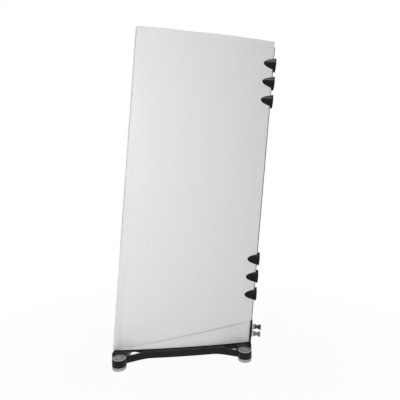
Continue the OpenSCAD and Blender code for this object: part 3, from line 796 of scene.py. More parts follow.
def lathe(profile: Sequence[Vector], segments: int = 128) -> bmesh.types.BMesh:
    """Turns a closed profile of (radius, height) about Z, with a UV of turn and length in metres.

    Args:
        profile: The closed profile. Points on the axis become poles.
        segments: Steps round the axis.

    Returns:
        The turned mesh.
    """
    shape = bmesh.new()
    layer = shape.loops.layers.uv.new("turned")
    rings: list[list[bmesh.types.BMVert]] = []
    lengths = [0.0]
    for k, point in enumerate(profile):
        if point.x < 1e-7:
            rings.append([shape.verts.new((0, 0, point.y))] * segments)
        else:
            rings.append([shape.verts.new((*p, point.y)) for p in ring(point.x, segments)])
        lengths.append(lengths[-1] + (profile[(k + 1) % len(profile)] - point).length)
    for k, lower in enumerate(rings):
        upper = rings[(k + 1) % len(rings)]
        if lower[0] is lower[1] and upper[0] is upper[1]:
            continue
        for s in range(segments):
            t = (s + 1) % segments
            corners = {lower[s]: (s, k)}
            for vertex, spot in ((lower[t], (s + 1, k)), (upper[t], (s + 1, k + 1)), (upper[s], (s, k + 1))):
                corners.setdefault(vertex, spot)
            face = shape.faces.new(list(corners))
            for loop, (turn, row) in zip(face.loops, corners.values()):
                loop[layer].uv = (turn / segments, lengths[row])
    return shape


def prism(outline: Sequence[Vector], start: float, end: float) -> bmesh.types.BMesh:
    """Upright prism of a closed outline between two heights.

    Args:
        outline: The closed outline.
        start: Height of the lower end.
        end: Height of the upper end.

    Returns:
        The prism.
    """
    shape = bmesh.new()
    low, high = ([shape.verts.new((*p, z)) for p in outline] for z in (start, end))
    shape.faces.new(low[::-1])
    shape.faces.new(high)
    for k in range(len(outline)):
        m = (k + 1) % len(outline)
        shape.faces.new([low[k], low[m], high[m], high[k]])
    return shape


def moved(shape: bmesh.types.BMesh, matrix: Matrix) -> bmesh.types.BMesh:
    """The same shape, moved by a matrix."""
    shape.transform(matrix)
    return shape


def joined(shapes: Iterable[bmesh.types.BMesh]) -> bmesh.types.BMesh:
    """One shape of several, which are freed.

    Args:
        shapes: The shapes, which are freed.

    Returns:
        The whole.
    """
    whole = bmesh.new()
    for shape in shapes:
        mesh = bpy.data.meshes.new("part")
        shape.to_mesh(mesh)
        shape.free()
        whole.from_mesh(mesh)
        bpy.data.meshes.remove(mesh)
    return whole


def plain_mesh(piece: bpy.types.Object) -> bpy.types.Mesh:
    """The mesh that a piece has with its modifiers applied."""
    depsgraph = bpy.context.evaluated_depsgraph_get()
    return bpy.data.meshes.new_from_object(piece.evaluated_get(depsgraph), depsgraph=depsgraph)


def cut(piece: bpy.types.Object, cutters: Sequence[bmesh.types.BMesh]) -> bmesh.types.BMesh:
    """Cuts closed shapes out of a closed piece and removes the piece.

    Args:
        piece: The object that is cut.
        cutters: The shapes, which are freed.

    Returns:
        What is left of the piece.
    """
    tools: list[bpy.types.Object] = []
    for k, cutter in enumerate(cutters):
        bmesh.ops.recalc_face_normals(cutter, faces=cutter.faces[:])
        tools.append(linked(cutter, f"cutter_{k}"))
        modifier = piece.modifiers.new(f"cut_{k}", "BOOLEAN")
        modifier.operation, modifier.solver, modifier.object = "DIFFERENCE", "MANIFOLD", tools[-1]
    result = plain_mesh(piece)
    for thing in [piece, *tools]:
        bpy.data.objects.remove(thing)
    return taken(result, 1e-6)


def bevel(shape: bmesh.types.BMesh, width: float, chosen: Callable[[bmesh.types.BMEdge], bool],
          segments: int = 2, least: float = 40.0) -> None:
    """Bevels the sharp edges that a test chooses.

    Args:
        shape: The mesh.
        width: Width of the bevel in metres.
        chosen: Tells whether an edge is meant.
        segments: Steps across the bevel.
        least: Smallest angle of an edge in degrees.
    """
    edges = [e for e in shape.edges if edge_angle(e) > least and len(e.link_faces) == 2 and chosen(e)]
    bmesh.ops.bevel(
        shape, geom=edges, offset=width, offset_type="OFFSET", segments=segments, profile=0.5,
        affect="EDGES", clamp_overlap=True)


def cad_copy(node: str) -> bmesh.types.BMesh:
    """Merged copy of a CAD node's mesh with its flat faces whole.

    Args:
        node: The node's name.

    Returns:
        The copy.
    """
    shape = bmesh.new()
    shape.from_mesh(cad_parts[node].data)
    bmesh.ops.remove_doubles(shape, verts=shape.verts[:], dist=2e-6)
    bmesh.ops.dissolve_degenerate(shape, edges=shape.edges[:], dist=1e-6)
    bmesh.ops.dissolve_limit(
        shape, angle_limit=math.radians(0.6), verts=shape.verts[:], edges=shape.edges[:])
    return shape


def settle(piece: bpy.types.Object, body: str, slot: str, *nodes: str) -> None:
    """Gives a finished piece its body and hides the CAD nodes that it stands for.

    Args:
        piece: The finished piece.
        body: CAD body that it rides on.
        slot: Material slot of the record; not used.
        nodes: CAD nodes that it replaces.
    """
    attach(piece, body)
    if nodes:
        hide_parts(*nodes)
    log.info("%s rides on %s, %d faces", piece.name, body, len(piece.data.polygons))


def dress_cad(node: str, finish: Finish) -> None:
    """Gives a CAD node that stays its finish.

    Args:
        node: The node's name.
        finish: Its finish.
    """
    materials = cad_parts[node].data.materials
    materials.clear()
    materials.append(finish.material())
    log.info("%s keeps its solid, in %s", node, finish.name)


# ---------------------------------------------------------------- geometry nodes

SOCKET_KINDS = {int: "NodeSocketInt", float: "NodeSocketFloat", tuple: "NodeSocketRotation"}


class GeometrySheet:
    """A Geometry Nodes tree with named inputs, written in the script."""

    def __init__(self, name: str, **inputs: object) -> None:
        """Starts a tree.

        Args:
            name: The tree's name.
            inputs: First value of each input, with _ for spaces in its name.
        """
        self.tree = bpy.data.node_groups.new(name, "GeometryNodeTree")
        face = self.tree.interface
        for way in ("INPUT", "OUTPUT"):
            face.new_socket(name="Geometry", in_out=way, socket_type="NodeSocketGeometry")
        for label, value in inputs.items():
            face.new_socket(name=label.replace("_", " "), in_out="INPUT",
                            socket_type=SOCKET_KINDS[type(value)]).default_value = value
        self.inlet = self.tree.nodes.new("NodeGroupInput")
        self.outlet = self.tree.nodes.new("NodeGroupOutput")

    def given(self, label: str) -> bpy.types.NodeSocket:
        """A named input's socket."""
        return self.inlet.outputs[label]

    def node(self, kind: str, values: Optional[dict] = None,
             settings: Optional[dict] = None) -> bpy.types.NodeSocket:
        """Adds a geometry node with its values and settings, and returns its first output."""
        return add_node(self.tree, "GeometryNode" + kind, settings, values).outputs[0]

    def math(self, operation: str, first: object, second: object = 0.0) -> bpy.types.NodeSocket:
        """Adds one Math node and returns its result."""
        return add_node(
            self.tree, "ShaderNodeMath", {"operation": operation}, {0: first, 1: second}).outputs[0]

    def vector(self, x: object = 0.0, y: object = 0.0, z: object = 0.0) -> bpy.types.NodeSocket:
        """Vector of three values."""
        return add_node(self.tree, "ShaderNodeCombineXYZ", {}, {0: x, 1: y, 2: z}).outputs[0]

    def shift(self, geometry: bpy.types.NodeSocket, x: object = 0.0, z: object = 0.0) -> bpy.types.NodeSocket:
        """The geometry, moved along X and Z."""
        return self.node("Transform", {"Geometry": geometry, "Translation": self.vector(x, 0.0, z)})

    def cylinder(self, sides: int, radius: object, depth: object) -> bpy.types.NodeSocket:
        """Cylinder about the origin."""
        return self.node("MeshCylinder", {"Vertices": sides, "Radius": radius, "Depth": depth})

    def union(self, *parts: bpy.types.NodeSocket) -> bpy.types.NodeSocket:
        """One solid of several."""
        return self.node("MeshBoolean", {"Mesh 2": list(parts)}, {"operation": "UNION", "solver": "EXACT"})

    def less(self, whole: bpy.types.NodeSocket, part: bpy.types.NodeSocket) -> bpy.types.NodeSocket:
        """A solid with another cut out of it."""
        return self.node("MeshBoolean", {"Mesh 1": whole, "Mesh 2": part},
                         {"operation": "DIFFERENCE", "solver": "EXACT"})

    def cut_ring(self, part: bpy.types.NodeSocket, finish: Finish, radial: bool) -> None:
        """Cuts a ring of copies of a part out of the host, and ends the tree.

        The inputs Count, Circle and Height say how many, how far out and how high.

        Args:
            part: The solid that is cut out at each place.
            finish: The finish of all faces.
            radial: Whether each copy turns to face the middle.
        """
        circle = self.node("MeshCircle", {"Vertices": self.given("Count"), "Radius": self.given("Circle")})
        values = {"Points": self.shift(circle, z=self.given("Height")), "Instance": part}
        if radial:
            share = self.math("DIVIDE", math.tau, self.given("Count"))
            angle = self.math("MULTIPLY", self.node("InputIndex"), share)
            values["Rotation"] = self.vector(z=angle)
        copies = self.node("RealizeInstances", {0: self.node("InstanceOnPoints", values)})
        self.close(self.less(self.given("Geometry"), copies), finish)

    def close(self, geometry: bpy.types.NodeSocket, finish: Finish) -> None:
        """Ends the tree in real geometry with that finish.

        Args:
            geometry: What the tree has made.
            finish: The finish of all faces.
        """
        real = self.node("RealizeInstances", {0: geometry})
        dressed = self.node("SetMaterial", {"Geometry": real, "Material": finish.material()})
        self.tree.links.new(dressed, self.outlet.inputs[0])

    def run(self, host: bpy.types.Object, name: str, finish: Finish, matrix: Matrix = Matrix.Identity(4),
            smooth: float = 32.0, **values: object) -> bpy.types.Object:
        """Runs the tree on a host and turns the result into a plain piece.

        Args:
            host: Object that the modifier sits on, which is removed.
            name: The new piece's name.
            finish: The finish of all its faces.
            matrix: Place of the result in the row frame.
            smooth: Edges of a larger angle in degrees stay sharp.
            values: Value of each input, with _ for spaces.

        Returns:
            The piece.
        """
        modifier = host.modifiers.new(self.tree.name, "NODES")
        modifier.node_group = self.tree
        sockets = {s.name: s.identifier for s in self.tree.interface.items_tree
                   if s.item_type == "SOCKET" and s.in_out == "INPUT"}
        for key, value in values.items():
            modifier[sockets[key.replace("_", " ")]] = value
        mesh = plain_mesh(host)
        bpy.data.objects.remove(host)
        return to_object(taken(mesh, 1e-7), name, finish, matrix, smooth)


def points_host(places: Iterable[Vector]) -> bpy.types.Object:
    """Object whose vertices are the places where something repeats.

    Args:
        places: The places.

    Returns:
        The object.
    """
    shape = bmesh.new()
    for place in places:
        shape.verts.new(place)
    return linked(shape, "places")


# ---------------------------------------------------------------- cabinet


@dataclass
class Cabinet:
    """The lacquered cabinet: two long arcs that meet in a narrow tail, sizes in metres."""

    depth: float = 0.554
    front_width: float = 0.240
    rear_width: float = 0.030
    side_radius: float = 2.9
    lid_tilt: float = 1.0
    crease_tilt: float = 14.3
    baffle_t: float = 0.036
    lid_t: float = 0.022
    side_wall: float = 0.020
    front_edge: float = 0.014
    lid_edge: float = 0.010
    plate_seat: float = 0.003
    scoop: float = 0.0078
    scoop_lip: float = 0.12
    groove_w: float = 0.016
    groove_depth: float = 0.009
    port_bore: float = 0.12
    base_break: float = 0.0010
    rim_break: float = 0.0006
    lid_break: float = 0.0012
    columns: int = 46
    upper_rows: int = 26
    lower_shares: tuple[float, ...] = (
        1, 0.92, 0.82, 0.7, 0.58, 0.46, 0.35, 0.26, 0.19, 0.14, 0.10, 0.075, 0.05, 0.025, 0.0)
    port_heights: tuple[float, ...] = RAKE.from_top(0.081, 0.1554, 0.2298) + (0.398, 0.3236, 0.2492)
    port_r: float = 0.026
    length: float = RAKE.length
    centre: Vector = field(init=False)

    def __post_init__(self) -> None:
        """Works out the sides' centre."""
        a, b = Vector((self.front_width / 2, 0)), Vector((self.rear_width / 2, self.depth))
        chord = b - a
        rise = math.sqrt(self.side_radius ** 2 - chord.length_squared / 4)
        self.centre = (a + b) / 2 + rise * Vector((-chord.y, chord.x)) / chord.length

    def half_width(self, y: float, inset: float = 0.0) -> float:
        """Half the width at depth y, less an inset from the sides."""
        reach = (self.side_radius - inset) ** 2 - (y - self.centre.y) ** 2
        return self.centre.x + math.sqrt(reach)

    def base(self, y: float) -> float:
        """Height of the level base at depth y."""
        return y * math.tan(math.radians(RAKE.angle))

    def crease(self, y: float) -> float:
        """Height of the crease at depth y."""
        return y * math.tan(math.radians(self.crease_tilt))

    def lid_plane(self, y: float, down: float = 0.0) -> float:
        """Height of the lid's top at depth y, less a distance down."""
        return self.length - down + y * math.tan(math.radians(self.lid_tilt))

    def front_corner(self) -> tuple[Vector, float]:
        """Centre of the rounded front corner and the depth where it meets the side.

        Returns:
            The centre and the depth.
        """
        inner = self.side_radius - self.front_edge
        x = self.centre.x + math.sqrt(inner ** 2 - (self.front_edge - self.centre.y) ** 2)
        middle = Vector((x, self.front_edge))
        meets = self.centre + (middle - self.centre) * self.side_radius / inner
        return middle, meets.y

    def plan_width(self, y: float) -> float:
        """Half the width at depth y with the front corners rounded.

        Args:
            y: Depth behind the baffle's face.

        Returns:
            Half the width.
        """
        middle, meets = self.front_corner()
        if y >= meets:
            return self.half_width(y)
        return middle.x + math.sqrt(max(self.front_edge ** 2 - (y - middle.y) ** 2, 0.0))

    def front_depths(self, end: float, fine: int = 14, step: float = 0.012) -> list[float]:
        """Depths from the baffle's face to an end, close together round the front corner.

        Args:
            end: The last depth.
            fine: Steps round the corner.
            step: Longest step behind it in metres.

        Returns:
            The depths in order.
        """
        _, meets = self.front_corner()
        round_part = [meets * (1 - math.cos(math.pi / 2 * k / fine)) for k in range(fine + 1)]
        count = max(1, math.ceil((end - meets) / step))
        return round_part + [meets + (end - meets) * k / count for k in range(1, count + 1)]

    def scoop_depth(self, y: float, share: float) -> float:
        """How far the side dips in below the crease.

        Args:
            y: Depth behind the baffle's face.
            share: Share of the way down from the crease to the base.

        Returns:
            The dip, which fades out at both ends of the crease and at the base.
        """
        skew, fullness, fall = 1.15, 0.8, 0.9
        start = self.baffle_t * 0.6
        along = min(max((y - start) / (self.depth - self.plate_seat - start), 0), 1)
        lens = math.sin(math.pi * along ** skew) ** fullness if 0 < along < 1 else 0.0
        lip = self.scoop_lip
        if share < lip:
            down = math.sin(math.pi / 2 * share / lip)
        else:
            down = (0.5 + 0.5 * math.cos(math.pi * (share - lip) / (1 - lip))) ** fall
        return self.scoop * lens * down

    def on_base(self, edge: bmesh.types.BMEdge) -> bool:
        """Whether an edge lies in the base."""
        return all(abs(v.co.z - self.base(v.co.y)) < 1e-5 for v in edge.verts)

    def shell_rows(self) -> list[list[Vector]]:
        """Rows of points up the right side of the shell, from the base to below the lid.

        Returns:
            The rows in order.
        """
        behind = self.depth - self.baffle_t
        depths = [self.baffle_t + behind * k / self.columns for k in range(self.columns + 1)]
        rows: list[list[Vector]] = []
        for share in self.lower_shares:
            rows.append([Vector((
                self.half_width(y) - self.scoop_depth(y, share), y,
                self.base(y) + (self.crease(y) - self.base(y)) * (1 - share))) for y in depths])
        for k in range(1, self.upper_rows + 1):
            rows.append([Vector((
                self.half_width(y), y,
                self.crease(y) + (self.lid_plane(y, self.lid_t) - self.crease(y)) * k / self.upper_rows))
                for y in depths])
        return rows

    def shell_grid(self) -> bmesh.types.BMesh:
        """The closed outside of the shell behind the baffle, before it is hollowed.

        Returns:
            The mesh, with the sides' base edges broken.
        """
        rows = self.shell_rows()
        shape = bmesh.new()
        right = [[shape.verts.new(p) for p in row] for row in rows]
        left = [[shape.verts.new((-p.x, p.y, p.z)) for p in row] for row in rows]
        for grid in (right, left):
            for low, high in zip(grid, grid[1:]):
                for k in range(self.columns):
                    shape.faces.new([low[k], low[k + 1], high[k + 1], high[k]])
        for k in range(self.columns):
            for row in (0, -1):
                shape.faces.new([right[row][k], right[row][k + 1], left[row][k + 1], left[row][k]])
        for column in (0, -1):
            for k in range(1, len(rows)):
                a, b, c, d = (right[k - 1], right[k], left[k], left[k - 1])
                shape.faces.new([a[column], b[column], c[column], d[column]])
        bmesh.ops.recalc_face_normals(shape, faces=shape.faces[:])

        def side(edge: bmesh.types.BMEdge) -> bool:
            """Whether an edge of the base runs along a side."""
            first, last = (v.co.x for v in edge.verts)
            return self.on_base(edge) and min(abs(first), abs(last)) > 0.01 and abs(first - last) < 0.02
        bevel(shape, self.base_break, side)
        return shape

    def hollow(self) -> bmesh.types.BMesh:
        """The space inside the shell, open at the front, base and top.

        Returns:
            The closed shape that is cut out.
        """
        count, tail, front = 24, 0.002, -0.05
        end = self.centre.y + math.sqrt(
            (self.side_radius - self.side_wall) ** 2 - (tail - self.centre.x) ** 2)
        depths = [front + (end - front) * k / count for k in range(count + 1)]
        outline = [Vector((self.half_width(y, self.side_wall), y)) for y in depths]
        return prism(mirrored(outline), -2 * CLEAR, self.length + 2 * CLEAR)

    def shell(self) -> None:
        """Makes the hollow lacquered shell with its port openings, spine groove and plate seat."""
        cutters = [self.hollow()]
        for z in self.port_heights:
            place = Matrix.Translation((0, self.depth - self.port_bore, z)) @ about_x(-90)
            cutters.append(moved(prism(ring(self.port_r, 96), 0.0, 4 * CLEAR), place))
        near, far, below = self.depth - self.plate_seat, self.depth + CLEAR, -3 * CLEAR
        w, floor = self.groove_w / 2, self.depth - self.groove_depth
        groove = [Vector(p) for p in ((-w, floor), (w, floor), (w, far), (-w, far))]
        cutters.append(prism(groove, self.crease(near), self.length + 3 * CLEAR))
        seat = [Vector(p) for p in (
            (-near, below), (-near, self.crease(near)), (-far, self.crease(far)), (-far, below))]
        turn = Matrix(((0, 0, 1, 0), (-1, 0, 0, 0), (0, 1, 0, 0), (0, 0, 0, 1)))
        cutters.append(moved(prism(seat, -2 * CLEAR, 2 * CLEAR), turn))
        left = cut(to_object(self.shell_grid(), "cabinet_shell_block", WHITE_LACQUER), cutters)
        settle(to_object(left, "lacquered_shell", WHITE_LACQUER, RAKE.matrix(), smooth=14.0),
               "speaker", "white_lacquer", "cabinet_shell")

    def baffle(self, drivers: "DriverSet", tweeter: "RibbonTweeter") -> None:
        """Makes the front baffle with its rounded corners and the recesses of the drive units.

        Args:
            drivers: The cone drivers, for their places and sizes.
            tweeter: The tweeter.
        """
        half = [Vector((self.plan_width(y), y)) for y in self.front_depths(self.baffle_t)]
        shape = prism(mirrored(half), 0.0, 1.0)
        for vertex in shape.verts:
            y = vertex.co.y
            vertex.co.z = self.base(y) if vertex.co.z < 0.5 else self.lid_plane(y, self.lid_t)
        bmesh.ops.recalc_face_normals(shape, faces=shape.faces[:])
        bevel(shape, self.base_break, lambda e: self.on_base(e) and any(
            v.co.y < self.baffle_t - 1e-4 for v in e.verts))
        units = [(z, ring(drivers.flange_r, 160), drivers.flange_t, ring(drivers.opening_r, 160))
                 for z in drivers.heights]
        units.append((tweeter.height, tweeter.outline(), tweeter.plate_t, tweeter.inner_outline()))
        cutters: list[bmesh.types.BMesh] = []
        for z, recess, seat, opening in units:
            place = Matrix.Translation((0, 0, z)) @ about_x(90)
            cutters += [moved(prism(recess, -seat, CLEAR), place), moved(prism(opening, -CLEAR, 0.0), place)]
        left = cut(to_object(shape, "baffle_block", WHITE_LACQUER), cutters)

        def rim(edge: bmesh.types.BMEdge) -> bool:
            """Whether an edge is the rim of a recess on the baffle's face."""
            return all(abs(v.co.y) < 1e-5 and abs(v.co.x) < 0.1 and 0.1 < v.co.z < self.length - 0.05
                       for v in edge.verts)
        bevel(left, self.rim_break, rim, 2, 60.0)
        settle(to_object(left, "lacquered_baffle", WHITE_LACQUER, RAKE.matrix(), smooth=25.0),
               "speaker", "white_lacquer", "front_baffle")

    def lid(self) -> None:
        """Makes the lid with its rounded front edge and finely broken side edges."""
        steps = 10
        depths = sorted(set(self.front_depths(self.depth)) | {
            self.lid_edge * (1 - math.cos(math.pi / 2 * k / steps)) for k in range(1, steps + 1)})
        shape = bmesh.new()
        rows = []
        for y in depths:
            x, left = self.plan_width(y), max(self.lid_edge - y, 0.0)
            top = self.lid_plane(y) - (self.lid_edge - math.sqrt(self.lid_edge ** 2 - left ** 2))
            low = self.lid_plane(y, self.lid_t)
            rows.append([shape.verts.new(p) for p in ((-x, y, low), (-x, y, top), (x, y, top), (x, y, low))])
        for a, b in zip(rows, rows[1:]):
            for k in range(4):
                m = (k + 1) % 4
                shape.faces.new([a[k], a[m], b[m], b[k]])
        shape.faces.new(rows[0])
        shape.faces.new(rows[-1][::-1])
        bmesh.ops.recalc_face_normals(shape, faces=shape.faces[:])

        def top_side(edge: bmesh.types.BMEdge) -> bool:
            """Whether an edge runs along the top, at a side or at the rear.

            Args:
                edge: An edge of the lid.

            Returns:
                Whether it is one that gets broken.
            """
            ends = [v.co for v in edge.verts]
            high = all(self.lid_plane(p.y) - p.z < self.lid_edge + 1e-4 for p in ends)
            along = abs(ends[0].x - ends[1].x) < 0.02
            rear = all(p.y > self.depth - 1e-5 for p in ends)
            return high and along != rear
        bevel(shape, self.lid_break, top_side, 3)
        settle(to_object(shape, "lacquered_lid", WHITE_LACQUER, RAKE.matrix(), smooth=14.0),
               "speaker", "white_lacquer", "top_panel")


# ---------------------------------------------------------------- drive units


@dataclass
class DriverSet:
    """The three bass drivers and the lower-midrange driver, sizes in metres."""

    heights: tuple[float, ...] = RAKE.from_top(0.905, 0.710, 0.515, 0.155)
    flange_r: float = 0.082
    flange_t: float = 0.006
    opening_r: float = 0.071
    cone_r: float = 0.052
    cone_depth: float = 0.028
    cone_t: float = 0.0012
    cone_land: float = 0.002
    coil_r: float = 0.019
    former_t: float = 0.0005
    coil_t: float = 0.0007
    cap_r: float = 0.040
    cap_seat_r: float = 0.0235
    cap_sink: float = 0.0004
    roll_r: float = 0.0054
    skin_t: float = 0.0008
    rim_w: float = 0.0016
    coil_start: float = -0.054
    coil_end: float = -0.068
    screw_circle: float = 0.075
    screws_each: int = 6
    frame_break: float = 0.0005

    def cone_profile(self) -> list[Vector]:
        """Closed profile of the cone with its dust cap, former and coil.

        Returns:
            The profile as points of radius and height.
        """
        edge, neck = -self.flange_t, -self.flange_t - self.cone_depth
        slope = (edge - neck) / (self.cone_r - self.cone_land - self.coil_r)
        seat = neck + self.cone_t + (self.cap_seat_r - self.coil_r) * slope - self.cap_sink
        middle = seat - math.sqrt(self.cap_r ** 2 - self.cap_seat_r ** 2)
        flat = math.degrees(math.acos(self.cap_seat_r / self.cap_r))
        dome = arc((0, middle), self.cap_r, 90, flat, 16)
        dome[0].x = 0.0
        former = self.coil_r + self.former_t
        coil = former + self.coil_t
        body = [Vector(p) for p in (
            (self.cone_r - self.cone_land, edge + self.cone_t), (self.cone_r, edge + self.cone_t),
            (self.cone_r, edge), (former, neck), (former, self.coil_start), (coil, self.coil_start),
            (coil, self.coil_end), (self.coil_r, self.coil_end))]
        inner = self.cap_r - self.cone_t
        start = math.degrees(math.acos(self.coil_r / inner))
        under = arc((0, middle), inner, start, 90, 8)
        under[-1].x = 0.0
        return dome + body + under

    def surround_profile(self) -> list[Vector]:
        """Closed profile of the half roll and its outer rim.

        Returns:
            The profile as points of radius and height.
        """
        edge, middle = -self.flange_t, self.cone_r + self.roll_r
        meets = math.degrees(math.asin(self.skin_t / self.roll_r))
        top = arc((middle, edge), self.roll_r, 180, meets, 24)
        outer = self.cone_r + 2 * self.roll_r - self.skin_t + self.rim_w
        rim = [Vector((outer, edge + self.skin_t)), Vector((outer, edge))]
        return top + rim + arc((middle, edge), self.roll_r - self.skin_t, 0, 180, 20)

    def screw_places(self) -> list[Vector]:
        """Where the screws sit on the baffle, in the row frame."""
        circle = arc((0, 0), self.screw_circle, 30, 390, self.screws_each)[:-1]
        return [RAKE.on_baffle(height) @ p.to_3d() for height in self.heights for p in circle]

    def make(self) -> None:
        """Makes the flanges, cones and surrounds and dresses what lies behind them."""
        for i, height in enumerate(self.heights, 1):
            place = RAKE.on_baffle(height)
            shape = cad_copy(f"basket_{i}")
            bevel(shape, self.frame_break, lambda e: all(
                (v.co - place.translation).dot(outward(place)) > -self.flange_t - 1e-4 for v in e.verts),
                least=50.0)
            settle(to_object(shape, f"driver_frame_{i}", CAST_BLACK), "speaker", "cast_black", f"basket_{i}")
            settle(to_object(lathe(self.cone_profile()), f"driver_cone_{i}", CONE_CERAMIC, place),
                   f"cone_{i}", "cone_ceramic", f"cone_{i}")
            roll = lathe(self.surround_profile())
            settle(to_object(roll, f"driver_surround_{i}", SURROUND_RUBBER, place, smooth=40.0),
                   f"cone_{i}", "surround_rubber", f"surround_{i}")
            dress_cad(f"magnet_{i}", MOTOR_STEEL)
            dress_cad(f"spider_{i}", SPIDER_CLOTH)


@dataclass
class RibbonTweeter:
    """The pleated ribbon in its flared faceplate, sizes in metres."""

    height: float = RAKE.from_top(0.325)[0]
    plate_w: float = 0.104
    plate_h: float = 0.128
    plate_t: float = 0.005
    ribbon_w: float = 0.014
    ribbon_h: float = 0.072
    ribbon_z: float = -0.011
    fold: float = 0.0006
    film: float = 0.00025
    pleats: int = 36
    corner: float = 0.008
    throat_inset: tuple[float, float] = (0.015, 0.013)
    throat_corner: float = 0.006
    screw_inset: float = 0.008
    plate_break: float = 0.0008
    clamp_w: float = 0.015
    clamp_h: float = 0.003
    clamp_t: float = 0.004

    def outline(self) -> list[Vector]:
        """Outline of the faceplate."""
        return rounded_rectangle(self.plate_w, self.plate_h, self.corner, 10)

    def inner_outline(self) -> list[Vector]:
        """Outline of the opening behind the faceplate."""
        across, up = self.throat_inset
        return rounded_rectangle(self.plate_w - 2 * across, self.plate_h - 2 * up, self.throat_corner, 8)

    def screw_places(self) -> list[Vector]:
        """Where the four screws sit, in the row frame."""
        x, y = self.plate_w / 2 - self.screw_inset, self.plate_h / 2 - self.screw_inset
        return [RAKE.on_baffle(self.height) @ Vector((s * x, t * y, 0)) for s in (-1, 1) for t in (-1, 1)]

    @staticmethod
    def pleat_tree() -> GeometrySheet:
        """The tree that folds a flat strip into pleats and gives it its thickness.

        Returns:
            The tree with inputs for the strip's sizes, its pleats, fold and film.
        """
        sheet = GeometrySheet(
            "ribbon_pleats", Width=0.014, Height=0.072, Pleats=36, Fold=0.0006, Film=0.00025)
        height, pleats = sheet.given("Height"), sheet.given("Pleats")
        strip = sheet.node("MeshGrid", {
            "Size X": sheet.given("Width"), "Size Y": height,
            "Vertices X": 2, "Vertices Y": sheet.math("ADD", pleats, 1)})
        place = add_node(sheet.tree, "ShaderNodeSeparateXYZ", {}, {0: sheet.node("InputPosition")})
        from_end = sheet.math("ADD", place.outputs["Y"], sheet.math("MULTIPLY", height, 0.5))
        row = sheet.math("ROUND", sheet.math("DIVIDE", from_end, sheet.math("DIVIDE", height, pleats)))
        lift = sheet.math("MULTIPLY", sheet.math("MODULO", row, 2.0), sheet.given("Fold"))
        folded = sheet.node("SetPosition", {"Geometry": strip, "Offset": sheet.vector(z=lift)})
        back = sheet.node("ExtrudeMesh", {
            "Mesh": folded, "Offset": sheet.vector(z=-1.0),
            "Offset Scale": sheet.given("Film"), "Individual": False}, {"mode": "FACES"})
        sheet.close(sheet.node("JoinGeometry", {0: [folded, back]}), RIBBON_FOIL)
        return sheet

    def make(self) -> None:
        """Makes the faceplate, the ribbon and its clamps and dresses the housing."""
        place = RAKE.on_baffle(self.height)
        shape = cad_copy("tweeter_faceplate")
        bevel(shape, self.plate_break, lambda e: all(
            abs((v.co - place.translation).dot(outward(place))) < 2e-4 for v in e.verts), 3, 20.0)
        settle(to_object(shape, "tweeter_plate", CAST_BLACK), "speaker", "cast_black", "tweeter_faceplate")
        at = place @ Matrix.Translation((0, 0, self.ribbon_z))
        ribbon = self.pleat_tree().run(
            points_host([Vector((0, 0, 0))]), "pleated_ribbon", RIBBON_FOIL, at, smooth=10.0,
            Width=self.ribbon_w, Height=self.ribbon_h, Pleats=self.pleats, Fold=self.fold, Film=self.film)
        settle(ribbon, "speaker", "ribbon_foil", "tweeter_ribbon")
        bar = rounded_rectangle(self.clamp_w, self.clamp_h, 0.0005, 3)
        reach = (self.ribbon_h + self.clamp_h) / 2
        clamps = joined(
            moved(prism(bar, -self.clamp_t / 2, self.clamp_t / 2), Matrix.Translation((0, y, 0)))
            for y in (-reach, reach))
        settle(to_object(clamps, "ribbon_clamps", BLACK_STEEL, at), "speaker", "ribbon_foil")
        dress_cad("tweeter_housing", MOTOR_STEEL)


@dataclass
class SocketScrews:
    """Socket-head screws sunk into the flanges, one tree for all of them, sizes in metres."""

    head_r: float = 0.00415
    head_t: float = 0.0026
    socket_r: float = 0.0021
    socket_depth: float = 0.0016
    sunk: float = 0.0003

    @staticmethod
    def tree() -> GeometrySheet:
        """The tree that sets a screw head with a hexagon socket on every point.

        Returns:
            The tree with inputs for the head, the socket and its turn.
        """
        sheet = GeometrySheet(
            "socket_screws", Head_Radius=0.0041, Head_Height=0.0026, Chamfer=0.0005,
            Socket_Radius=0.002, Socket_Depth=0.0016, Turn=(0, 0, 0))
        sides = 28
        radius, tall, chamfer = (sheet.given(label) for label in ("Head Radius", "Head Height", "Chamfer"))
        wall = sheet.cylinder(sides, radius, sheet.math("SUBTRACT", tall, chamfer))
        top = sheet.node("MeshCone", {
            "Vertices": sides, "Radius Top": sheet.math("SUBTRACT", radius, chamfer),
            "Radius Bottom": radius, "Depth": chamfer})
        low = sheet.shift(wall, z=sheet.math("MULTIPLY", sheet.math("ADD", tall, chamfer), -0.5))
        high = sheet.shift(top, z=sheet.math("MULTIPLY", chamfer, -1.0))
        deep = sheet.math("MULTIPLY", sheet.given("Socket Depth"), 2.0)
        screw = sheet.less(sheet.union(low, high), sheet.cylinder(6, sheet.given("Socket Radius"), deep))
        placed = sheet.node("InstanceOnPoints", {
            "Points": sheet.given("Geometry"), "Instance": screw, "Rotation": sheet.given("Turn")})
        sheet.close(placed, BLACK_STEEL)
        return sheet

    def make(self, places: Sequence[Vector]) -> None:
        """Makes all the screws of the baffle.

        Args:
            places: Where they sit on the baffle's face.
        """
        sunk = outward(RAKE.on_baffle(0)) * self.sunk
        host = points_host(p - sunk for p in places)
        screws = self.tree().run(
            host, "socket_screws", BLACK_STEEL, smooth=25.0, Head_Radius=self.head_r, Head_Height=self.head_t,
            Socket_Radius=self.socket_r, Socket_Depth=self.socket_depth,
            Turn=(math.radians(90 - RAKE.angle), 0, 0))
        settle(screws, "speaker", "steel_fixings", "driver_screws")


# ---------------------------------------------------------------- rear


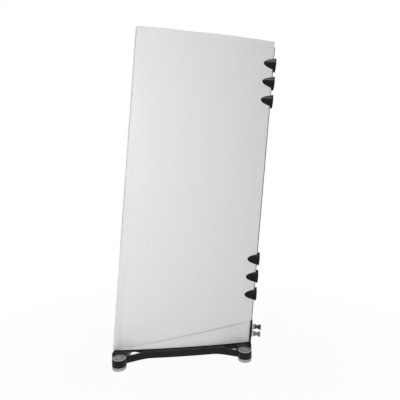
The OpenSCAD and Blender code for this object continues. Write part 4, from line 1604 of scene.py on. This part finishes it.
@dataclass
class ReflexPorts:
    """Six moulded ports that break out of the tapered tail, sizes in metres."""

    heights: tuple[float, ...]
    depth: float
    outer_r: float = 0.026
    flange_r: float = 0.0285
    flange_t: float = 0.003
    reach: float = 0.012
    length: float = 0.120
    flare: float = 0.006
    root_start: float = 0.0012
    root_end: float = 0.0004
    root_w: float = 0.0003

    def profile(self) -> list[Vector]:
        """Closed profile of one port, with its rear flange and flared throat.

        Returns:
            The profile as points of radius and height.
        """
        lip = self.flange_t / 2
        edge = arc((self.flange_r - lip, self.reach - lip), lip, -90, 90, 12)
        mouth = arc((self.outer_r, self.reach - self.flare), self.flare, 92, 180, 14)
        inner = arc((self.outer_r, self.flare - self.length), self.flare, 180, 268, 10)
        root = self.reach - self.flange_t
        body = [Vector((self.outer_r, self.flare * 0.2 - self.length)),
                Vector((self.outer_r, root - self.root_start)),
                Vector((self.outer_r + self.root_w, root - self.root_end))]
        return body + edge + mouth + inner

    def make(self) -> None:
        """Makes the six ports."""
        for i, height in enumerate(self.heights, 1):
            place = RAKE.on_rear(height, self.depth)
            settle(to_object(lathe(self.profile(), 144), f"reflex_port_{i}", PORT_BLACK, place, smooth=40.0),
                   "speaker", "port_black", f"port_{i}")


@dataclass
class RearTrim:
    """The black strip in the tail and the plate that carries the binding posts.

    The shell's thin edge hides all of the plate but its outer part, so only that part is made.
    """

    plate_front: float
    edge: float = 0.0005

    def shorten(self, shape: bmesh.types.BMesh) -> None:
        """Cuts away the part of the plate that the shell hides.

        Args:
            shape: The plate's mesh.
        """
        matrix = RAKE.matrix()
        made = bmesh.ops.bisect_plane(
            shape, geom=shape.verts[:] + shape.edges[:] + shape.faces[:], dist=1e-6,
            plane_co=matrix @ Vector((0, self.plate_front, 0)),
            plane_no=outward(RAKE.on_rear(0, 0)), clear_inner=True)
        rim = [part for part in made["geom_cut"] if isinstance(part, bmesh.types.BMEdge)]
        bmesh.ops.triangle_fill(shape, edges=rim, use_beauty=True)
        bmesh.ops.recalc_face_normals(shape, faces=shape.faces[:])

    def make(self) -> None:
        """Makes both with finely broken edges."""
        strip, plate = cad_copy("rear_spine"), cad_copy("terminal_plate")
        self.shorten(plate)
        for shape, name, node in ((strip, "tail_strip", "rear_spine"),
                                  (plate, "post_plate", "terminal_plate")):
            bevel(shape, self.edge, lambda e: True, least=50.0)
            settle(to_object(shape, name, PLATE_BLACK), "speaker", "black_satin", node)


@dataclass
class BindingPost:
    """The clamp washer and spool-shaped knob of one binding post, sizes in metres."""

    number: int
    height: float
    knob_finish: Finish
    knob_slot: str
    depth: float = 0.559
    stem_r: float = 0.004
    bore_gap: float = 0.00005
    washer_r: float = 0.009
    collar_t: float = 0.010
    knob_start: float = 0.012
    knob_len: float = 0.026
    knob_r: float = 0.011
    foot_t: float = 0.0031
    head_t: float = 0.005
    waist_r: float = 0.0065
    waist_gap: float = 0.003
    waist_low: float = 0.009
    waist_high: float = 0.014
    flutes: int = 22
    flute_out: float = 0.0004
    flute_down: float = 0.0022
    flute_len: float = 0.0072

    @staticmethod
    def flute_tree() -> GeometrySheet:
        """The tree that cuts a ring of grip flutes into a turned piece.

        Returns:
            The tree with inputs for the number, radius and place of the flutes.
        """
        sheet = GeometrySheet(
            "grip_flutes", Count=22, Circle=0.0115, Flute_Radius=0.0009, Length=0.005, Height=0.035)
        flute = sheet.cylinder(12, sheet.given("Flute Radius"), sheet.given("Length"))
        sheet.cut_ring(flute, KNOB_DARK, radial=False)
        return sheet

    def knob_profile(self) -> list[Vector]:
        """Closed profile of the spool-shaped knob.

        Returns:
            The profile as points of radius and height.
        """
        bore, end = self.stem_r + self.bore_gap, self.knob_start + self.knob_len
        middle = self.knob_r + self.waist_gap
        sweep = math.degrees(math.acos(self.waist_gap / self.waist_r))
        lower = arc((middle, self.knob_start + self.waist_low), self.waist_r, 180 + sweep, 180, 10)
        upper = arc((middle, self.knob_start + self.waist_high), self.waist_r, 180, 180 - sweep, 10)
        rise = self.knob_start + self.foot_t
        foot = fillet_path([(bore, self.knob_start, 0.0003), (self.knob_r, self.knob_start, 0.0006),
                            (self.knob_r, rise, 0), (bore, rise, 0)], 4)
        neck = end - self.head_t
        head = fillet_path([(bore, neck, 0), (self.knob_r, neck, 0),
                            (self.knob_r, end, 0.0012), (bore, end, 0.0005)], 5)
        return foot[:-2] + lower + upper + head[2:]

    def make(self) -> None:
        """Makes the post's washer and knob on their own bodies."""
        place = RAKE.on_rear(self.height, self.depth)
        bore = self.stem_r + self.bore_gap
        washer = fillet_path([
            (bore, self.collar_t, 0.0002), (self.washer_r, self.collar_t, 0.0004),
            (self.washer_r, self.knob_start, 0.0004), (bore, self.knob_start, 0.0002)], 3)
        settle(to_object(lathe(washer, 96), f"clamp_washer_{self.number}", BRIGHT_PLATE, place),
               f"post_washer_{self.number}", "bright_plate", f"post_washer_{self.number}")
        host = to_object(lathe(self.knob_profile(), 96), f"knob_blank_{self.number}", self.knob_finish)
        end = self.knob_start + self.knob_len
        knob = self.flute_tree().run(
            host, f"post_grip_{self.number}", self.knob_finish, place, smooth=30.0, Count=self.flutes,
            Circle=self.knob_r + self.flute_out, Height=end - self.flute_down, Length=self.flute_len)
        settle(knob, f"post_knob_{self.number}", self.knob_slot, f"post_knob_{self.number}")


@dataclass
class Terminals:
    """Both binding posts with the collars and stems that they share, sizes in metres."""

    heights: tuple[float, float] = (0.109, 0.079)
    collar_r: float = 0.0144
    collar_edge: float = 0.003
    stem_break: float = 0.0004
    stem_inner: float = 0.045
    stem_outer: float = 0.0365
    socket_r: float = 0.002
    socket_depth: float = 0.020

    def make(self) -> None:
        """Makes the collars, the stems and the two posts."""
        posts = [BindingPost(1, self.heights[0], KNOB_DARK, "knob_dark"),
                 BindingPost(2, self.heights[1], KNOB_PALE, "knob_pale")]
        first = posts[0]
        collar = fillet_path([
            (first.stem_r, 0, 0), (self.collar_r, 0, 0.0003), (self.collar_r, self.collar_edge, 0.0008),
            (first.washer_r, first.collar_t, 0.0005), (first.stem_r, first.collar_t, 0)], 4)
        end, small, floor = self.stem_outer, self.stem_break, self.stem_outer - self.socket_depth
        stem = [Vector(p) for p in (
            (0, -self.stem_inner), (first.stem_r, -self.stem_inner), (first.stem_r, end - small),
            (first.stem_r - small, end), (self.socket_r + small, end), (self.socket_r, end - small),
            (self.socket_r, floor), (0, floor))]
        for profile, name, finish, slot, node in (
                (collar, "post_rings", BRIGHT_PLATE, "bright_plate", "post_collars"),
                (stem, "post_shafts", GOLD_PLATE, "post_metal", "post_stems")):
            both = joined(moved(lathe(profile, 96), RAKE.on_rear(post.height, post.depth)) for post in posts)
            settle(to_object(both, name, finish), "speaker", slot, node)
        for post in posts:
            post.make()


# ---------------------------------------------------------------- plinth and feet


@dataclass
class Plinth:
    """The outrigger plinth with its long rounded edges softened."""

    edge: float = 0.0010

    def make(self) -> None:
        """Makes the plinth and dresses its bolts."""
        shape = cad_copy("plinth")
        bevel(shape, self.edge, lambda e: abs(e.verts[0].co.z - e.verts[1].co.z) < 1e-5, 3, 60.0)
        settle(to_object(shape, "outrigger_plinth", BLACK_POWDER), "speaker", "black_satin", "plinth")
        dress_cad("plinth_bolts", BLACK_STEEL)


@dataclass
class LevellingFoot:
    """One foot: a slotted disc on a spindle that drives a pad, sizes in metres."""

    number: int
    x: float
    y: float
    disc_r: float = 0.0255
    disc_t: float = 0.004
    disc_z: float = 0.038
    spindle_r: float = 0.007
    sleeve_floor: float = 0.006
    sleeve_r: float = 0.01195
    sleeve_gap: float = 0.006
    bore_gap: float = 0.00005
    slot_share: float = 0.66
    pad_r: float = 0.0265
    pad_h: float = 0.013
    slots: int = 12

    @staticmethod
    def slot_tree() -> GeometrySheet:
        """The tree that cuts a ring of radial slots into a turned disc.

        Returns:
            The tree with inputs for the number, place and size of the slots.
        """
        sheet = GeometrySheet(
            "radial_slots", Count=12, Circle=0.0168, Slot_Radius=0.0018, Slot_Length=0.008, Depth=0.0025,
            Height=0.042)
        radius, length = sheet.given("Slot Radius"), sheet.given("Slot Length")
        double = sheet.math("MULTIPLY", sheet.given("Depth"), 2.0)
        end = sheet.cylinder(20, radius, double)
        near, far = (sheet.shift(end, sheet.math("MULTIPLY", length, share)) for share in (-0.5, 0.5))
        middle = sheet.node("MeshCube", {
            "Size": sheet.vector(length, sheet.math("MULTIPLY", radius, 2.0), double)})
        sheet.cut_ring(sheet.union(near, middle, far), DISC_STEEL, radial=True)
        return sheet

    def make(self) -> None:
        """Makes the disc with its spindle and the pad with its sleeve."""
        place = Matrix.Translation((self.x, RAKE.base_y + self.y, 0))
        top = self.disc_z + self.disc_t
        disc = fillet_path([
            (0, self.sleeve_floor, 0), (self.spindle_r, self.sleeve_floor, 0.0006),
            (self.spindle_r, self.disc_z, 0), (self.disc_r, self.disc_z, 0.0004),
            (self.disc_r, top, 0.0011), (0, top, 0)], 5)
        host = to_object(lathe(disc, 128), f"disc_blank_{self.number}", DISC_STEEL)
        screw = self.slot_tree().run(
            host, f"slotted_disc_{self.number}", DISC_STEEL, place, smooth=30.0, Count=self.slots,
            Circle=self.disc_r * self.slot_share, Height=top)
        settle(screw, f"foot_screw_{self.number}", "foot_steel", f"foot_screw_{self.number}")
        bore, sleeve = self.spindle_r + self.bore_gap, self.sleeve_r
        sleeve_top = self.disc_z - self.sleeve_gap
        pad = fillet_path([
            (0, 0, 0), (self.pad_r, 0, 0.004), (self.pad_r, self.pad_h, 0.0006), (sleeve, self.pad_h, 0),
            (sleeve, sleeve_top, 0.0003), (bore, sleeve_top, 0.0003), (bore, self.sleeve_floor, 0),
            (0, self.sleeve_floor, 0)], 6)
        settle(to_object(lathe(pad, 128), f"floor_pad_{self.number}", PAD_ALLOY, place),
               f"foot_pad_{self.number}", "pad_alloy", f"foot_pad_{self.number}")


# ---------------------------------------------------------------- inside and studio


INSIDE: dict[str, Finish] = {
    "bottom_panel": BIRCH_BOARD, "partition_panel": BIRCH_BOARD, "window_braces": BIRCH_BOARD,
    "crossover_board": CIRCUIT_BOARD, "inductors": COIL_COPPER, "capacitors": CAPACITOR_FILM,
    "resistors": RESISTOR_CLAY, "internal_wiring": WIRE_SLEEVE}


@dataclass
class SoftBox:
    """A large soft lamp that looks at the middle of the speaker.

    A glint lamp only shows as a highlight on gloss, and lights nothing else.
    """

    name: str
    place: tuple[float, float, float]
    size: float
    watts: float
    target: tuple[float, float, float] = (0.0, 0.0, 0.65)
    glint: bool = False

    def make(self) -> None:
        """Adds the lamp."""
        lamp = bpy.data.lights.new(self.name, "AREA")
        lamp.shape, lamp.size, lamp.energy = "SQUARE", self.size, self.watts
        holder = bpy.data.objects.new(self.name, lamp)
        holder.visible_glossy, holder.visible_diffuse = self.glint, not self.glint
        aim = Vector(self.target) - Vector(self.place)
        turn = aim.to_track_quat("-Z", "Y").to_matrix().to_4x4()
        holder.matrix_world = Matrix.Translation(self.place) @ turn
        bpy.context.scene.collection.objects.link(holder)


@dataclass
class Studio:
    """Plain pale floor, soft light and the camera."""

    camera_place: tuple[float, float, float] = (1.4966, 0.1054, 0.6781)
    yaw: float = -3.56
    pitch: float = 1.59
    roll: float = -0.49
    lens: float = 31.887
    flag_y: float = -1.9
    flag_across: tuple[float, float] = (-2.0, 1.0)
    flag_up: tuple[float, float] = (0.05, 2.6)
    ambient_front: float = 0.01
    ambient_rear: float = 0.55
    lamps: tuple[SoftBox, ...] = (
        SoftBox("side_box", (1.9, -0.7, 1.1), 1.0, 23.0),
        SoftBox("front_box", (-2.2, -2.6, 1.6), 1.8, 28.0),
        SoftBox("far_box", (-2.4, 1.3, 1.3), 1.4, 26.0),
        SoftBox("glint_box", (0.75, 0.3, 2.6), 0.5, 24.0, glint=True))

    def camera(self) -> None:
        """Adds the camera and makes it the scene's own."""
        yaw, pitch, roll = (math.radians(a) for a in (self.yaw, self.pitch, self.roll))
        ahead = Vector((-math.cos(pitch) * math.cos(yaw), math.cos(pitch) * math.sin(yaw), -math.sin(pitch)))
        right = ahead.cross(Vector((0, 0, 1))).normalized()
        up = right.cross(ahead)
        turned = right * math.cos(roll) + up * math.sin(roll)
        raised = up * math.cos(roll) - right * math.sin(roll)
        data = bpy.data.cameras.new("view")
        data.lens, data.sensor_width, data.sensor_fit = self.lens, 36.0, "HORIZONTAL"
        data.clip_start, data.clip_end = 0.05, 60.0
        holder = bpy.data.objects.new("view", data)
        basis = Matrix((turned, raised, -ahead)).transposed().to_4x4()
        holder.matrix_world = Matrix.Translation(self.camera_place) @ basis
        bpy.context.scene.collection.objects.link(holder)
        bpy.context.scene.camera = holder

    @staticmethod
    def board(name: str, corners: Sequence[Sequence[float]], sheet: "ShaderSheet",
              light: bpy.types.NodeSocket) -> bpy.types.Object:
        """Adds a flat board of the studio.

        Args:
            name: The board's name.
            corners: Its corners in order.
            sheet: The sheet of its material.
            light: The shader socket that it ends in.

        Returns:
            The board.
        """
        sheet.node("OutputMaterial", {"Surface": light})
        shape = bmesh.new()
        shape.faces.new([shape.verts.new(corner) for corner in corners])
        made = linked(shape, name)
        made.data.materials.append(sheet.owner)
        return made

    def floor(self) -> None:
        """Adds the floor, which is white to the camera but keeps the shadow."""
        reach, near, far, shadow = 14.0, 0.4, 1.3, 0.94
        sheet = ShaderSheet(bpy.data.materials.new("studio_floor"))
        spot = sheet.place()
        paint = sheet.node("BsdfDiffuse", {
            "Color": sheet.blend(sheet.noise(spot, 3.0, 2.0), (0.90, 0.90, 0.90), (0.92, 0.92, 0.92))})
        glow = sheet.node("Emission", {"Color": (1, 1, 1, 1), "Strength": 1.0})
        x, y = (sheet.axis(spot, letter).math("POWER", 2.0) for letter in "XY")
        out = (x + y).math("POWER", 0.5)
        mixed = sheet.mix(self._seen(sheet) * out.span(near, far, shadow, 1.0), paint, glow)
        corners = ((-reach, -reach, 0), (reach, -reach, 0), (reach, reach, 0), (-reach, reach, 0))
        self.board("studio_floor", corners, sheet, mixed.outputs[0])

    def flag(self) -> None:
        """Adds a dark board in front of the speaker, which only its gloss shows."""
        sheet = ShaderSheet(bpy.data.materials.new("studio_flag"))
        cloth = sheet.noise(sheet.place(), 40.0, 2.0)
        paint = sheet.node("BsdfDiffuse", {
            "Color": sheet.blend(cloth, (0.05, 0.05, 0.05), (0.07, 0.07, 0.07))})
        (left, right), (low, high) = self.flag_across, self.flag_up
        corners = [(x, self.flag_y, z) for x, z in ((left, low), (right, low), (right, high), (left, high))]
        board = self.board("studio_flag", corners, sheet, paint.outputs[0])
        board.visible_camera = board.visible_diffuse = board.visible_shadow = False

    @staticmethod
    def _seen(sheet: "ShaderSheet") -> Signal:
        """1 for rays that show the surroundings: the camera's, glossy and see-through ones.

        Args:
            sheet: The sheet that reads the rays.

        Returns:
            0 or 1.
        """
        path = sheet.node("LightPath", {}).outputs
        camera, glossy, through = (
            Signal(sheet.tree, path[f"Is {kind} Ray"]) for kind in ("Camera", "Glossy", "Transmission"))
        return (camera + glossy + through).span(0.0, 1.0)

    def world(self) -> None:
        """Sets the surroundings: white where seen, and an even soft light."""
        world = bpy.data.worlds.new("studio")
        bpy.context.scene.world = world
        sheet = ShaderSheet(world)
        front, rear, white = (
            sheet.node("Background", {"Color": (1, 1, 1, 1), "Strength": strength})
            for strength in (self.ambient_front, self.ambient_rear, 1.0))
        rearwards = sheet.axis(sheet.place(Space.DIRECTION), "Y").span(-1.0, 1.0)
        light = sheet.mix(rearwards, front, rear)
        mixed = sheet.mix(self._seen(sheet), light, white)
        sheet.node("OutputWorld", {"Surface": mixed.outputs[0]})

    def make(self) -> None:
        """Adds the whole studio."""
        self.camera()
        self.floor()
        self.flag()
        self.world()
        for lamp in self.lamps:
            lamp.make()
        bpy.context.scene.view_settings.view_transform = "Standard"


# Each foot's place across and behind the cabinet's front edge, in metres.
FOOT_PLACES = ((0.185, 0.050), (-0.185, 0.050), (0.095, 0.531), (-0.095, 0.531))


def main() -> None:
    """Builds the speaker's looks in order."""
    logging.basicConfig(level=logging.INFO, format="%(name)s: %(message)s")
    Studio().make()
    cabinet, drivers, tweeter = Cabinet(), DriverSet(), RibbonTweeter()
    cabinet.shell()
    cabinet.baffle(drivers, tweeter)
    cabinet.lid()
    drivers.make()
    tweeter.make()
    SocketScrews().make(drivers.screw_places() + tweeter.screw_places())
    ReflexPorts(cabinet.port_heights, cabinet.depth).make()
    RearTrim(cabinet.depth - cabinet.plate_seat).make()
    Terminals().make()
    Plinth().make()
    for number, (x, y) in enumerate(FOOT_PLACES, 1):
        LevellingFoot(number, x, y).make()
    for node, finish in INSIDE.items():
        dress_cad(node, finish)


if __name__ == "__main__":
    main()
